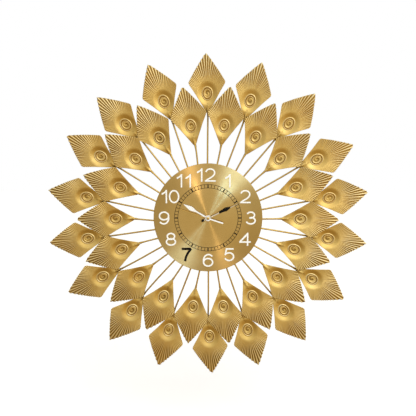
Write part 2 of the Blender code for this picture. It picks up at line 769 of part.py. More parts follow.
def add_case_rear(places):
    """The lid over the train, with a recess for the knob and posts and bosses for the arbors."""
    outline = rounded_rectangle(-CASE_HALF, CASE_HALF, LID_BOTTOM, CASE_HALF, CASE_CORNER)
    case = add_solid("movement_case_rear", layered([(0.0, LID_THICKNESS, outline)]), "black_plastic")
    inside = LID_THICKNESS - SINK
    axis = (0.0, 0.0)
    for high, radius, place, count in (
        (RECESS_WALL_END, RECESS_RADIUS + CASE_WALL, places["knob"], 32),
        (SECOND_BOSS_END, BOSS_RADIUS, axis, 12),
        (THIRD_BOSS_END, BOSS_RADIUS, places["third"], 12),
        (INTERMEDIATE_POST_END, POST_RADIUS, places["intermediate"], 12),
        (ROTOR_POST_END, POST_RADIUS, places["rotor"], 12),
    ):
        combine(case, layered([(inside, high, circle(radius, count, place))]), "UNION")
    through = RECESS_WALL_END + CUT_MARGIN
    for low, high, radius, place, count in (
        (-CUT_MARGIN, RECESS_FLOOR, RECESS_RADIUS, places["knob"], 32),
        (0.0, through, KNOB_SHAFT_RADIUS + KNOB_SHAFT_CLEARANCE, places["knob"], 12),
        (BOSS_HOLE_START, through, BOSS_BORE, axis, 12),
        (BOSS_HOLE_START, through, BOSS_BORE, places["third"], 12),
    ):
        combine(case, layered([(low, high, circle(radius, count, place))]), "DIFFERENCE")


def add_motor(places):
    x, z = places["rotor"]
    left = [(x + a, z + b) for a, b in STATOR_OUTLINE]
    right = [(2 * x - a, b) for a, b in reversed(left)]
    stator = stacked(STATOR_STEPS, (left + right,), [circle(STATOR_BORE, 20, (x, z))])
    add_solid("stator", stator, "steel")

    half = COIL_HALF_LENGTH
    winding_end = half - COIL_FLANGE
    profile = (
        (0.0, -half),
        (COIL_FLANGE_RADIUS, -half),
        (COIL_FLANGE_RADIUS, -winding_end),
        (COIL_RADIUS, -winding_end),
        (COIL_RADIUS, winding_end),
        (COIL_FLANGE_RADIUS, winding_end),
        (COIL_FLANGE_RADIUS, half),
        (0.0, half),
    )
    winding = turned(profile, 16, closed=False)
    lay_along_x(winding, x, z + COIL_RISE, COIL_FRONT)
    coil = add_solid("coil", winding, "copper")
    low = z + COIL_RISE - CORE_HALF_WIDTH
    high = z + COIL_RISE + CORE_HALF_WIDTH
    core = rectangle(x - CORE_HALF_LENGTH, x + CORE_HALF_LENGTH, low, high)
    combine(coil, stacked(CORE_STEPS, (core,)), "UNION")


def add_circuit_board():
    """The board with its chip and its quartz crystal."""
    board = add_solid("circuit_board", stacked(BOARD_STEPS, (rectangle(*BOARD_BOX),)), "circuit_green")
    combine(board, stacked(CHIP_STEPS, (rectangle(*CHIP_BOX),)), "UNION")
    combine(board, stacked(CRYSTAL_STEPS, (rectangle(*CRYSTAL_BOX),)), "UNION")


def lay_along_x(bm, x, z, front):
    """Turn a shape from the front axis to -X, and move it to its place."""
    bmesh.ops.transform(bm, matrix=Matrix.Rotation(math.radians(-90.0), 4, "Z"), verts=bm.verts)
    bmesh.ops.translate(bm, vec=facing_front(x, z, front), verts=bm.verts)


def add_battery():
    """One AA cell with its plus end at -X."""
    length = BATTERY_LENGTH
    profile = (
        (0.0, 0.0),
        (6.4, 0.0),
        (BATTERY_RADIUS, 0.6),
        (BATTERY_RADIUS, length - 1.6),
        (6.6, length - 1.0),
        (2.7, length - 1.0),
        (2.7, length - 0.2),
        (2.3, length),
        (0.0, length),
    )
    cell = turned(profile, 20, closed=False)
    lay_along_x(cell, BATTERY_LEFT + length, BATTERY_Z, BATTERY_FRONT)
    add_solid("battery", cell, "cell_wrap")


def add_contacts():
    half = CONTACT_THICKNESS / 2
    low = BATTERY_Z - CONTACT_HALF_HEIGHT
    high = BATTERY_Z + CONTACT_HALF_HEIGHT
    outline = rounded_rectangle(CONTACT_BACK, CONTACT_FACE, low, high, CONTACT_CORNER, 2)
    plus = layered([(-CONTACT_X - half, -CONTACT_X + half, outline)], place=facing_side)
    add_solid("battery_contact_plus", plus, "steel")
    plate = layered([(CONTACT_X - half, CONTACT_X + half, outline)], place=facing_side)
    spring = add_solid("battery_contact_spring", plate, "steel")
    steps = 12 * SPRING_TURNS
    points = []
    for i in range(steps + 1):
        share = i / steps
        angle = 2 * math.pi * SPRING_TURNS * share
        radius = SPRING_RADIUS - SPRING_TAPER * share
        x = CONTACT_X - half - SPRING_LENGTH * share
        z = BATTERY_Z + radius * math.sin(angle)
        points.append(facing_front(x, z, BATTERY_FRONT + radius * math.cos(angle)))
    combine(spring, swept_tube(points, SPRING_WIRE_RADIUS * MM, 6), "UNION")


def main():
    clear_scene()
    leaf = leaf_mesh()
    add_leaves("outer", leaf, OUTER_BASE_RADIUS, 0.0, OUTER_LEAN)
    add_leaves("inner", leaf, INNER_BASE_RADIUS, 360.0 / RAY_COUNT, INNER_LEAN)
    add_spoke_frame()
    add_dial()
    add_fasteners()
    add_hands()
    places = wheel_places()
    add_going_train(places)
    add_motion_work(places)
    add_setting_knob(places)
    add_case_front(places)
    add_case_rear(places)
    add_motor(places)
    add_circuit_board()
    add_battery()
    add_contacts()


main()
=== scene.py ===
"""Sunburst wall clock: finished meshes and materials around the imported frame, with camera and light.

Lengths of the clock are in millimetres, and MM turns them into metres. "Front" is a distance out from
the wall, so y = -front. Clock angles are in degrees, clockwise from twelve.
"""
import json
import math

import bmesh
import bpy
import numpy as np
from mathutils import Matrix, Vector


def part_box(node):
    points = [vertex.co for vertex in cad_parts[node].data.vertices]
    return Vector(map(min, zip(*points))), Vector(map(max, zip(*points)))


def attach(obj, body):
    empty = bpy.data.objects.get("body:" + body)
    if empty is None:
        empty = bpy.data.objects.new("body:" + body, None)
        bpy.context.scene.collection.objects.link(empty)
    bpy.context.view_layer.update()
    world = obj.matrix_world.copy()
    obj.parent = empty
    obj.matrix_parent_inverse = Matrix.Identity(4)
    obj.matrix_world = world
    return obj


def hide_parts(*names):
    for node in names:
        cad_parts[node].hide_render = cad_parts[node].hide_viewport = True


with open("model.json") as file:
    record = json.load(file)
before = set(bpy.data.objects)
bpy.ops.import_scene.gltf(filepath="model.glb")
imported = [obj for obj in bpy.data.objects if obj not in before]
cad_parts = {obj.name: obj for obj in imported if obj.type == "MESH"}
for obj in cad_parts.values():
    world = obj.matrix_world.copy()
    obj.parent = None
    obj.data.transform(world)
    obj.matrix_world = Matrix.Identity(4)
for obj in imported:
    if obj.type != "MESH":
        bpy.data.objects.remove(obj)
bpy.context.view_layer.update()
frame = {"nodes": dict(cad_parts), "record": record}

MM = 0.001

# An edge is sharp where its faces turn by more than this, in degrees
SHARP_EDGE = 35.0
WIDE_SHARP_EDGE = 40.0

# Movement: the share of the cell that its band covers, the bare length at its ends, and the nodes whose
# edges are rounded, with the width of the rounding
CELL_BAND = 0.28
CELL_BARE_END = 1.2
WELD_DISTANCE = 0.01
SOFTENED_NODES = {
    "movement_case_front": 0.3,
    "movement_case_rear": 0.3,
    "setting_knob": 0.15,
    "mounting_nut": 0.2,
    "mounting_washer": 0.1,
    "battery_contact_plus": 0.08,
    "circuit_board": 0.08,
    "stator": 0.08,
}

# Camera and picture: distances in metres, angles in degrees, the lens in millimetres
CAMERA_DISTANCE = 1.0056
CAMERA_ELEVATION = 7.0
CAMERA_PITCH = 0.942
CAMERA_LENS = 45.64
FLOOR_BELOW = 0.42
FLOOR_RADIUS = 7.0

# Leaf: places along it are distances from its base
LEAF_SHEET = 0.7
LEAF_RISE = 3.0
LEAF_RISE_LENGTH = 60.0
LEAF_SIDE_LIFT = 2.0
LEAF_HALF_WIDTH = 33.0
LEAF_HALF_SHEET_CAD = 0.4
EYE = 36.0
EYE_HALF_WIDTH = 14.0
EYE_HALF_LENGTH = 17.2
EYE_ROWS = 34
EYE_RINGS = ((1.20, 0.66, 0.048), (-0.80, 0.55, 0.050), (0.58, 0.45, 0.045))
BOWL_DEPTH = 0.45
SWIRL_HEIGHT = 0.40
SWIRL_TWIST = 15.0
DISH_DEPTH = 3.3
DISH_FLOOR = 7.5
DISH_BRIM = 19.5
DISH_SQUASH = 0.85
BLADE_ROWS = 22
PLEAT_STEP = 4.6
PLEAT_REACH = 124.0
PLEAT_SPREAD = 0.18
PLEATS_START = 14.0
PLEATS_FULL = 54.0
PLEATS_NEAR_EYE = 0.12
PLEAT_HEIGHT = 1.0
PLEAT_WAVE = (0.0, 0.85, 1.0, 0.0, -0.85, -1.0)
PLEAT_NOTCH = 0.5
PLEAT_NOTCH_MIDDLE = 0.2
NECK_LENGTH = 16.0
NECK_WRAP = 1.4
NECK_RIDGE = 0.5
NECK_PITS = 9
PIT_DEPTH = 0.25
RIM_INSET = 0.3
RIM_STEP = 0.2
LOWER_COLUMNS = 54
COLUMNS_PER_EYE_COLUMN = 3
OUTLINE_STEP = 0.4
OUTLINE_ROUNDING = 1.0

# Dial and its trim
DIAL_SHEET = 1.0
DIAL_ROUND = 0.8
DIAL_FLANGE = 0.8
DIAL_HOLE_EDGE = 0.15
DIAL_HOLE_DROP = 0.12
DIAL_LIFT = 0.02
NUMERAL_RADIUS = 80.3
NUMERAL_HEIGHT = 24.8
DRAWN_HEIGHT = 23.5
NUMERAL_STROKE = 2.6
SEVEN_STROKE = 4.0
NUMERAL_THICKNESS = 0.7
NUMERAL_EDGE = 0.15
NUMERAL_SHIFTS = {1: -3.0, 9: -1.6, 11: -4.3, 12: -2.6}
DIGIT_PLACES = {10: (-10.8, 6.1), 11: (-7.8, 7.6), 12: (-11.9, 6.6)}
TRACK_OUTER = 62.6
TRACK_INNER = 56.2
TRACK_LINE = 0.8
TRACK_THICKNESS = 0.12
TRACK_BAR = 0.9
TRACK_HOUR_BAR = 2.2


# Node graphs

class Graph:
    """A material and short calls for the nodes that the finishes use."""

    def __init__(self, name):
        self.material = bpy.data.materials.new(name)
        self.material.use_nodes = True
        self.tree = self.material.node_tree
        self.shader = self.tree.nodes["Principled BSDF"]

    def set(self, **values):
        for name, value in values.items():
            socket = self.shader.inputs[name.replace("_", " ")]
            if isinstance(value, tuple):
                value = (*value, 1.0)
            socket.default_value = value

    def node(self, kind, **settings):
        made = self.tree.nodes.new(kind)
        for name, value in settings.items():
            setattr(made, name, value)
        return made

    def link(self, source, target):
        self.tree.links.new(source, target)

    def place(self, scale=(1.0, 1.0, 1.0)):
        """Object coordinates, stretched by the scale."""
        coordinates = self.node("ShaderNodeTexCoord")
        mapping = self.node("ShaderNodeMapping")
        mapping.inputs["Scale"].default_value = scale
        self.link(coordinates.outputs["Object"], mapping.inputs["Vector"])
        return mapping.outputs["Vector"]

    def axes(self, vector):
        """X, Y and Z of a vector."""
        split = self.node("ShaderNodeSeparateXYZ")
        self.link(vector, split.inputs["Vector"])
        return split.outputs

    def noise(self, scale, detail=3.0, roughness=0.5, stretch=(1.0, 1.0, 1.0)):
        texture = self.node("ShaderNodeTexNoise")
        texture.inputs["Scale"].default_value = scale
        texture.inputs["Detail"].default_value = detail
        texture.inputs["Roughness"].default_value = roughness
        self.link(self.place(stretch), texture.inputs["Vector"])
        return texture.outputs["Fac"]

    def attribute(self, name):
        return self.node("ShaderNodeAttribute", attribute_name=name).outputs["Fac"]

    def remap(self, value, low, high, to_low, to_high):
        node = self.node("ShaderNodeMapRange")
        self.link(value, node.inputs["Value"])
        limits = {"From Min": low, "From Max": high, "To Min": to_low, "To Max": to_high}
        for name, number in limits.items():
            node.inputs[name].default_value = number
        return node.outputs["Result"]

    def maths(self, operation, a, b=0.0):
        node = self.node("ShaderNodeMath", operation=operation)
        for socket, value in zip(node.inputs, (a, b)):
            if isinstance(value, (int, float)):
                socket.default_value = value
            else:
                self.link(value, socket)
        return node.outputs["Value"]

    def mix(self, share, first, second):
        node = self.node("ShaderNodeMix", data_type="RGBA")
        if isinstance(share, (int, float)):
            node.inputs[0].default_value = share
        else:
            self.link(share, node.inputs[0])
        for socket, value in ((node.inputs[6], first), (node.inputs[7], second)):
            if isinstance(value, tuple):
                socket.default_value = (*value, 1.0)
            else:
                self.link(value, socket)
        return node.outputs[2]

    def blend(self, value, low, high, first, second):
        """Two colours, mixed by where the value lies from low to high."""
        return self.mix(self.remap(value, low, high, 0.0, 1.0), first, second)

    def bump(self, height, distance, strength=1.0, below=None):
        node = self.node("ShaderNodeBump")
        node.inputs["Strength"].default_value = strength
        node.inputs["Distance"].default_value = distance
        self.link(height, node.inputs["Height"])
        if below is not None:
            self.link(below, node.inputs["Normal"])
        return node.outputs["Normal"]

    def colour(self, value):
        self.link(value, self.shader.inputs["Base Color"])

    def roughness(self, value):
        self.link(value, self.shader.inputs["Roughness"])

    def normal(self, value):
        self.link(value, self.shader.inputs["Normal"])


class WorldGraph(Graph):
    """The same calls on a world's nodes."""

    def __init__(self, world):
        self.tree = world.node_tree


def gold_leaf():
    """Pressed and gold-lacquered sheet with a fine grain. Its colour holds painted shade and highlight: pale
    on the ridges and rings, brown in the folds, hollows and pits.
    """
    g = Graph("gold_leaf")
    g.set(Metallic=1.0, Coat_Weight=0.45, Coat_Roughness=0.38)
    # Painted shade and highlight: the relief shading turns the colour dark in folds, hollows and pits and
    # pale on ridges and rings.
    relief_shading = g.remap(g.attribute("relief_shading"), -1.0, 1.0, 0.0, 1.0)
    blotches = g.noise(34.0, 4.0, 0.6)
    shade = g.maths("ADD", relief_shading, g.remap(blotches, 0.3, 0.7, -0.07, 0.07))
    tone = g.blend(shade, 0.0, 0.5, (0.22, 0.125, 0.025), (0.76, 0.545, 0.175))
    tone = g.blend(shade, 0.5, 1.0, tone, (0.92, 0.815, 0.51))
    tarnish = g.remap(g.noise(14.0, 2.0), 0.35, 0.7, 0.0, 0.4)
    g.colour(g.mix(tarnish, tone, (0.70, 0.45, 0.11)))
    grain = g.noise(1600.0, 2.0)
    gloss = g.remap(relief_shading, 0.0, 1.0, 0.55, 0.42)
    g.roughness(g.maths("ADD", gloss, g.remap(grain, 0.3, 0.7, -0.04, 0.05)))
    hammered = g.bump(g.noise(200.0, 2.0), 0.00010, 0.2)
    g.normal(g.bump(grain, 0.00001, 0.5, below=hammered))
    return g.material


def gold_rod():
    """Drawn rod with gold lacquer: duller patches along it and a fine grain."""
    g = Graph("gold_rod")
    g.set(Metallic=1.0, Coat_Weight=0.05, Coat_Roughness=0.3)
    patches = g.noise(60.0, 4.0, 0.6)
    g.colour(g.blend(patches, 0.3, 0.75, (0.76, 0.54, 0.155), (0.62, 0.41, 0.10)))
    grain = g.noise(2200.0, 2.0)
    g.roughness(g.remap(patches, 0.2, 0.8, 0.30, 0.48))
    g.normal(g.bump(grain, 0.00002, 0.6))
    return g.material


def gold_dial():
    """Sheet brushed in circles, finer inside the minute track, so highlights run out from its centre."""
    g = Graph("gold_dial")
    g.set(Metallic=1.0, Anisotropic=1.0, Anisotropic_Rotation=0.25)
    tangent = g.node("ShaderNodeTangent", direction_type="RADIAL", axis="Y")
    g.link(tangent.outputs["Tangent"], g.shader.inputs["Tangent"])
    place = g.axes(g.place())
    across = g.maths("POWER", place["X"], 2.0)
    up = g.maths("POWER", place["Z"], 2.0)
    radius = g.maths("SQRT", g.maths("ADD", across, up))
    lines = g.node("ShaderNodeTexNoise", noise_dimensions="1D")
    lines.inputs["Scale"].default_value = 4200.0
    lines.inputs["Detail"].default_value = 3.0
    g.link(radius, lines.inputs["W"])
    patches = g.noise(40.0, 3.0)
    fine = g.maths("MULTIPLY", lines.outputs["Fac"], 0.7)
    streaks = g.maths("ADD", fine, g.maths("MULTIPLY", patches, 0.3))
    g.colour(g.blend(streaks, 0.35, 0.65, (0.61, 0.435, 0.155), (0.73, 0.535, 0.225)))
    coarse = g.remap(radius, 0.045, 0.085, 0.0, 0.22)
    g.roughness(g.maths("ADD", g.remap(streaks, 0.3, 0.7, 0.16, 0.21), coarse))
    g.normal(g.bump(lines.outputs["Fac"], 0.00002, 0.2))
    return g.material


def paint(name, pale, deep, smooth, rough, scale, **settings):
    """A thin coat of paint: faint clouds of tone and gloss, and a little orange peel."""
    g = Graph(name)
    g.set(**settings)
    cloud = g.noise(scale, 3.0)
    g.colour(g.blend(cloud, 0.3, 0.7, pale, deep))
    g.roughness(g.remap(cloud, 0.3, 0.7, smooth, rough))
    g.normal(g.bump(g.noise(900.0, 1.0), 0.00001, 0.4))
    return g.material


def black_paint(name):
    return paint(name, (0.004, 0.003, 0.003), (0.009, 0.008, 0.007), 0.4, 0.55, 120.0,
                 Specular_IOR_Level=0.08)


def metal(name, pale, deep, smooth, rough):
    """Plain metal with fine wear: two tones of colour and of gloss."""
    g = Graph(name)
    g.set(Metallic=1.0)
    cloud = g.noise(220.0, 4.0, 0.6)
    g.colour(g.blend(cloud, 0.3, 0.7, pale, deep))
    g.roughness(g.remap(cloud, 0.3, 0.7, smooth, rough))
    g.normal(g.bump(g.noise(1.0, 2.0, stretch=(400.0, 400.0, 4000.0)), 0.00001, 0.5))
    return g.material


def plastic(name, pale, deep, smooth, rough):
    """Moulded plastic with a fine spark-eroded grain."""
    g = Graph(name)
    cloud = g.noise(60.0, 3.0)
    g.colour(g.blend(cloud, 0.3, 0.7, pale, deep))
    grain = g.noise(2600.0, 2.0)
    g.roughness(g.remap(grain, 0.3, 0.7, smooth, rough))
    g.normal(g.bump(grain, 0.00003, 0.5))
    return g.material


def cell_wrap():
    """The cell's sleeve: dark, with a copper band at its low X end, and bare steel at both ends."""
    low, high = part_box("battery")
    g = Graph("cell_wrap")
    place = g.axes(g.place())["X"]
    scuffs = g.noise(300.0, 4.0, 0.65)
    sleeve = g.blend(scuffs, 0.35, 0.7, (0.020, 0.023, 0.027), (0.045, 0.048, 0.052))
    band_end = low.x + CELL_BAND * (high.x - low.x)
    banded = g.remap(place, band_end, band_end + 0.2 * MM, 1.0, 0.0)
    sleeve = g.mix(banded, sleeve, (0.62, 0.33, 0.12))
    middle = (low.x + high.x) / 2
    from_middle = g.maths("ABSOLUTE", g.maths("SUBTRACT", place, middle))
    bare = g.maths("GREATER_THAN", from_middle, (high.x - low.x) / 2 - CELL_BARE_END * MM)
    g.colour(g.mix(bare, sleeve, (0.60, 0.60, 0.61)))
    g.link(bare, g.shader.inputs["Metallic"])
    g.roughness(g.remap(scuffs, 0.3, 0.75, 0.22, 0.42))
    g.normal(g.bump(scuffs, 0.00001, 0.5))
    return g.material


# Meshes

def corners(node):
    """A CAD node's corner points, each one once, in millimetres."""
    mesh = frame["nodes"][node].data
    points = np.zeros(len(mesh.vertices) * 3)
    mesh.vertices.foreach_get("co", points)
    points = points.reshape(-1, 3) / MM
    return np.unique(np.round(points, 4), axis=0)


def add_object(name, data):
    item = bpy.data.objects.new(name, data)
    bpy.context.scene.collection.objects.link(item)
    return item


def mesh_from(bm, name, material=None):
    """A bmesh turned into a mesh, which uses the bmesh up."""
    mesh = bpy.data.meshes.new(name)
    bm.to_mesh(mesh)
    bm.free()
    if material is not None:
        mesh.materials.append(material)
    return mesh


def mesh_piece(name, points, faces, material, body, relief_shading=None, matrix=None):
    """A smooth-shaded piece from points in millimetres, riding on a body."""
    mesh = bpy.data.meshes.new(name)
    mesh.from_pydata((np.asarray(points) * MM).tolist(), [], faces)
    mesh.validate()
    if relief_shading is not None:
        attribute = mesh.attributes.new("relief_shading", "FLOAT", "POINT")
        attribute.data.foreach_set("value", np.asarray(relief_shading, dtype=np.float32))
    mesh.materials.append(material)
    mesh.shade_smooth()
    if matrix is not None:
        mesh.transform(matrix)
    piece = add_object(name, mesh)
    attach(piece, body)
    return piece


def ring_faces(rows, columns, first=0):
    """Quads between rings of points, each ring closed on itself."""
    faces = []
    for row in range(rows - 1):
        low = first + row * columns
        high = low + columns
        for i in range(columns):
            j = (i + 1) % columns
            faces.append((low + i, low + j, high + j, high + i))
    return faces


def turned_piece(name, profile, count, material, body, sharp):
    """A piece turned about the hands' axis from (radius, front) points.

    It is closed into a ring if both of its ends are off the axis.
    """
    angles = np.arange(count) * 2 * math.pi / count
    rings = []
    for radius, front in profile:
        level = np.full(count, -front)
        rings.append(np.stack([radius * np.cos(angles), level, radius * np.sin(angles)], axis=1))
    points = np.concatenate(rings)
    faces = ring_faces(len(profile), count)
    if profile[0][0] > 0 and profile[-1][0] > 0:
        last = (len(profile) - 1) * count
        faces += [(last + i, last + (i + 1) % count, (i + 1) % count, i) for i in range(count)]
    piece = mesh_piece(name, points, faces, material, body)
    tidy_normals(piece, sharp)
    return piece


def tidy_normals(piece, sharp):
    """Merge coincident points, turn the faces outward and keep sharp edges crisp."""
    bm = bmesh.new()
    bm.from_mesh(piece.data)
    bmesh.ops.remove_doubles(bm, verts=bm.verts, dist=1e-7)
    bmesh.ops.recalc_face_normals(bm, faces=bm.faces)
    bm.to_mesh(piece.data)
    bm.free()
    piece.data.set_sharp_from_angle(angle=math.radians(sharp))


def arc(centre, half_width, half_height, start, end, count=28):
    """Points along an elliptical arc, its angles in degrees from the level axis."""
    points = []
    for i in range(count + 1):
        angle = math.radians(start + (end - start) * i / count)
        x = centre[0] + half_width * math.cos(angle)
        z = centre[1] + half_height * math.sin(angle)
        points.append((x, z))
    return points


def ellipse(centre, half_width, half_height, count=56):
    return arc(centre, half_width, half_height, 0.0, 360.0, count)[:-1]


def circle(radius, count):
    return ellipse((0.0, 0.0), radius, radius, count)


def smoothstep(value, low, high):
    share = np.clip((value - low) / (high - low), 0.0, 1.0)
    return share * share * (3.0 - 2.0 * share)


# Leaves

def leaf_place(node):
    """The leaf's own axes, read from its CAD solid: X across, Y toward the wall, Z from base to tip."""
    points = corners(node)
    order = np.argsort(np.hypot(points[:, 0], points[:, 2]))
    base = points[order[:4]].mean(axis=0)
    tip = points[order[-2:]].mean(axis=0)
    along = Vector((tip[0] - base[0], 0.0, tip[2] - base[2])).normalized()
    level = Vector((along.z, 0.0, -along.x))
    across = points @ np.array(level)
    right = points[np.argsort(across)[-2:]].mean(axis=0)
    left = points[np.argsort(across)[:2]].mean(axis=0)
    roll = (right[1] - left[1]) / np.dot(right - left, np.array(level))
    side = (level + Vector((0.0, roll, 0.0))).normalized()
    back = along.cross(side)
    origin = Vector(base) + back * LEAF_HALF_SHEET_CAD
    axes = Matrix((side, back, along)).transposed().to_4x4()
    return Matrix.Translation(origin * MM) @ axes


def leaf_outline(node, place):
    """The leaf's edge as (across, along) points, evenly spaced, with its corners rounded."""
    turn = np.array(place.to_3x3())
    local = (corners(node) - np.array(place.translation) / MM) @ turn
    flat = np.unique(np.round(local[:, [0, 2]], 1), axis=0)
    from_eye = np.hypot(flat[:, 0], flat[:, 1] - EYE)
    flat = flat[from_eye > EYE_HALF_WIDTH]
    flat = flat[np.argsort(np.arctan2(flat[:, 0], flat[:, 1] - EYE))]
    closed = np.vstack([flat, flat[:1]])
    travelled = np.concatenate([[0.0], np.cumsum(np.hypot(*np.diff(closed, axis=0).T))])
    places = np.arange(0.0, travelled[-1], OUTLINE_STEP)
    edge = np.stack([np.interp(places, travelled, closed[:, i]) for i in (0, 1)], axis=1)
    reach = int(4 * OUTLINE_ROUNDING / OUTLINE_STEP)
    offsets = np.arange(-reach, reach + 1)
    weights = np.exp(-0.5 * (offsets * OUTLINE_STEP / OUTLINE_ROUNDING) ** 2)
    weights /= weights.sum()
    return sum(weight * np.roll(edge, offset, axis=0) for weight, offset in zip(weights, offsets))


def pleat_columns(rng):
    """Angles about the eye of each column of points, and how far each lies up or down a pleat."""
    count = round(2 * PLEAT_REACH / PLEAT_STEP)
    steps = PLEAT_STEP * rng.uniform(1.0 - PLEAT_SPREAD, 1.0 + PLEAT_SPREAD, count)
    steps *= 2 * PLEAT_REACH / steps.sum()
    starts = np.concatenate([[0.0], np.cumsum(steps)])[:-1] - PLEAT_REACH
    heights = rng.uniform(0.65, 1.25, count)
    heights = 0.6 * heights + 0.4 * np.roll(heights, 1)
    angles = []
    waves = []
    for start, step, height in zip(starts, steps, heights):
        for i, wave in enumerate(PLEAT_WAVE):
            angles.append(start + step * i / len(PLEAT_WAVE))
            waves.append(wave * height)
    rest = 360.0 - 2 * PLEAT_REACH
    for i in range(LOWER_COLUMNS):
        angles.append(PLEAT_REACH + rest * i / LOWER_COLUMNS)
        waves.append(0.0)
    return np.radians(angles), np.array(waves)


def eye_relief(share, angle, rng):
    """Height of the pressed rings and swirl at a share of the way from the eye's centre to its rim.

    Each of EYE_RINGS is a ring's height, its share of the way out and its width.
    """
    rings = sum(height * np.exp(-((share - middle) / width) ** 2) for height, middle, width in EYE_RINGS)
    bowl = -BOWL_DEPTH * (1.0 - smoothstep(share, 0.15, 0.42))
    turn = rng.uniform(0.0, 2 * math.pi)
    swirl = SWIRL_HEIGHT * np.cos(angle - turn - SWIRL_TWIST * share) * smoothstep(share, 0.03, 0.12)
    swirl *= 1.0 - smoothstep(share, 0.30, 0.42)
    return rings + bowl + swirl


def blade_height(across, along):
    """Height of the leaf's face over its base, without pleats or eye rings."""
    rise = LEAF_RISE * np.sin(math.pi / 2 * np.clip(along / LEAF_RISE_LENGTH, 0.0, 1.0))
    cup = LEAF_SIDE_LIFT * (across / LEAF_HALF_WIDTH) ** 2
    from_eye = np.hypot(across, (along - EYE) * DISH_SQUASH)
    dish = DISH_DEPTH * (1.0 - smoothstep(from_eye, DISH_FLOOR, DISH_BRIM))
    return LEAF_SHEET + rise + cup - dish


def neck_relief(across, along, rng):
    """The neck hugs the rod behind it and is pitted by the press."""
    near = 1.0 - smoothstep(along, 0.0, NECK_LENGTH)
    height = -near * np.minimum(0.2 * across ** 2, NECK_WRAP)
    height += NECK_RIDGE * np.exp(-(across / 2.0) ** 2) * (1.0 - smoothstep(along, 6.0, 24.0))
    pits = np.zeros_like(height)
    for _ in range(NECK_PITS):
        x = rng.normal(0.0, 1.3)
        z = rng.uniform(3.0, 21.0)
        size = rng.uniform(0.7, 1.3)
        pits += np.exp(-((across - x) ** 2 + (along - z) ** 2) / size ** 2)
    pits = np.minimum(pits, 1.0)
    return height - PIT_DEPTH * pits, pits


def leaf_surface(edge, rng):
    """Rings of (across, along, height) points from the eye outward, with each point's relief shading, which
    paints shade and highlight into the leaf's colour.
    """
    angles, waves = pleat_columns(rng)
    edge_angles = np.arctan2(edge[:, 0], edge[:, 1] - EYE)
    edge_reach = np.hypot(edge[:, 0], edge[:, 1] - EYE)
    order = np.argsort(edge_angles)
    reach = np.interp(angles, edge_angles[order], edge_reach[order], period=2 * math.pi)
    rim = 1.0 / np.hypot(np.sin(angles) / EYE_HALF_WIDTH, np.cos(angles) / EYE_HALF_LENGTH)
    side = np.degrees(np.abs((angles + math.pi) % (2 * math.pi) - math.pi))
    strength = 1.0 - 0.42 * smoothstep(side, 5.0, 62.0)
    strength = strength * (1.0 - smoothstep(side, 78.0, PLEAT_REACH))
    reach = reach + PLEAT_NOTCH * (waves - PLEAT_NOTCH_MIDDLE) * strength
    rings = []

    few = angles[::COLUMNS_PER_EYE_COLUMN]
    for row in range(1, EYE_ROWS + 1):
        share = row / EYE_ROWS
        distance = rim[::COLUMNS_PER_EYE_COLUMN] * share
        across = distance * np.sin(few)
        along = EYE + distance * np.cos(few)
        rings.append((across, along, np.full(len(few), share), few, np.zeros(len(few))))
    for row in range(1, BLADE_ROWS + 1):
        out = (row / BLADE_ROWS) ** 1.1
        distance = rim + (reach - rim) * out
        across = distance * np.sin(angles)
        along = EYE + distance * np.cos(angles)
        grown = PLEATS_NEAR_EYE * smoothstep(out, 0.0, 0.2)
        grown = grown + (1.0 - PLEATS_NEAR_EYE) * smoothstep(distance, PLEATS_START, PLEATS_FULL)
        fold = PLEAT_HEIGHT * waves * strength * grown
        rings.append((across, along, np.full(len(angles), 1.0 + out), angles, fold))
    across, along, share, angle, fold = (np.concatenate(part) for part in zip(*rings))
    eye = eye_relief(share, angle, rng)
    neck, pits = neck_relief(across, along, rng)
    height = blade_height(across, along) + eye + neck + fold
    # Painted shade and highlight: folds and eye rings set the colour, pale on ridges and rings, dark in
    # folds and hollows, and darker still in the pits.
    relief_shading = np.clip(1.6 * fold / PLEAT_HEIGHT + 1.1 * eye * (share < 1.0) - 0.5 * pits, -1.0, 1.0)
    counts = [len(ring[0]) for ring in rings]
    centre = blade_height(np.zeros(1), np.array([EYE])) + eye_relief(np.zeros(1), np.zeros(1), rng)
    return across, along, height, relief_shading, counts, float(centre[0])


def leaf_faces(counts, start):
    """Faces of one side of a leaf: a fan at the eye, then rings, one of which has more columns outside."""
    faces = [(start, start + 1 + i, start + 1 + (i + 1) % counts[0]) for i in range(counts[0])]
    first = start + 1
    for inner, outer in zip(counts, counts[1:]):
        following = first + inner
        ratio = outer // inner
        for i in range(inner):
            span = [following + (ratio * i + k) % outer for k in range(ratio + 1)]
            faces.append((first + i, *span, first + (i + 1) % inner))
        first = following
    return faces, first


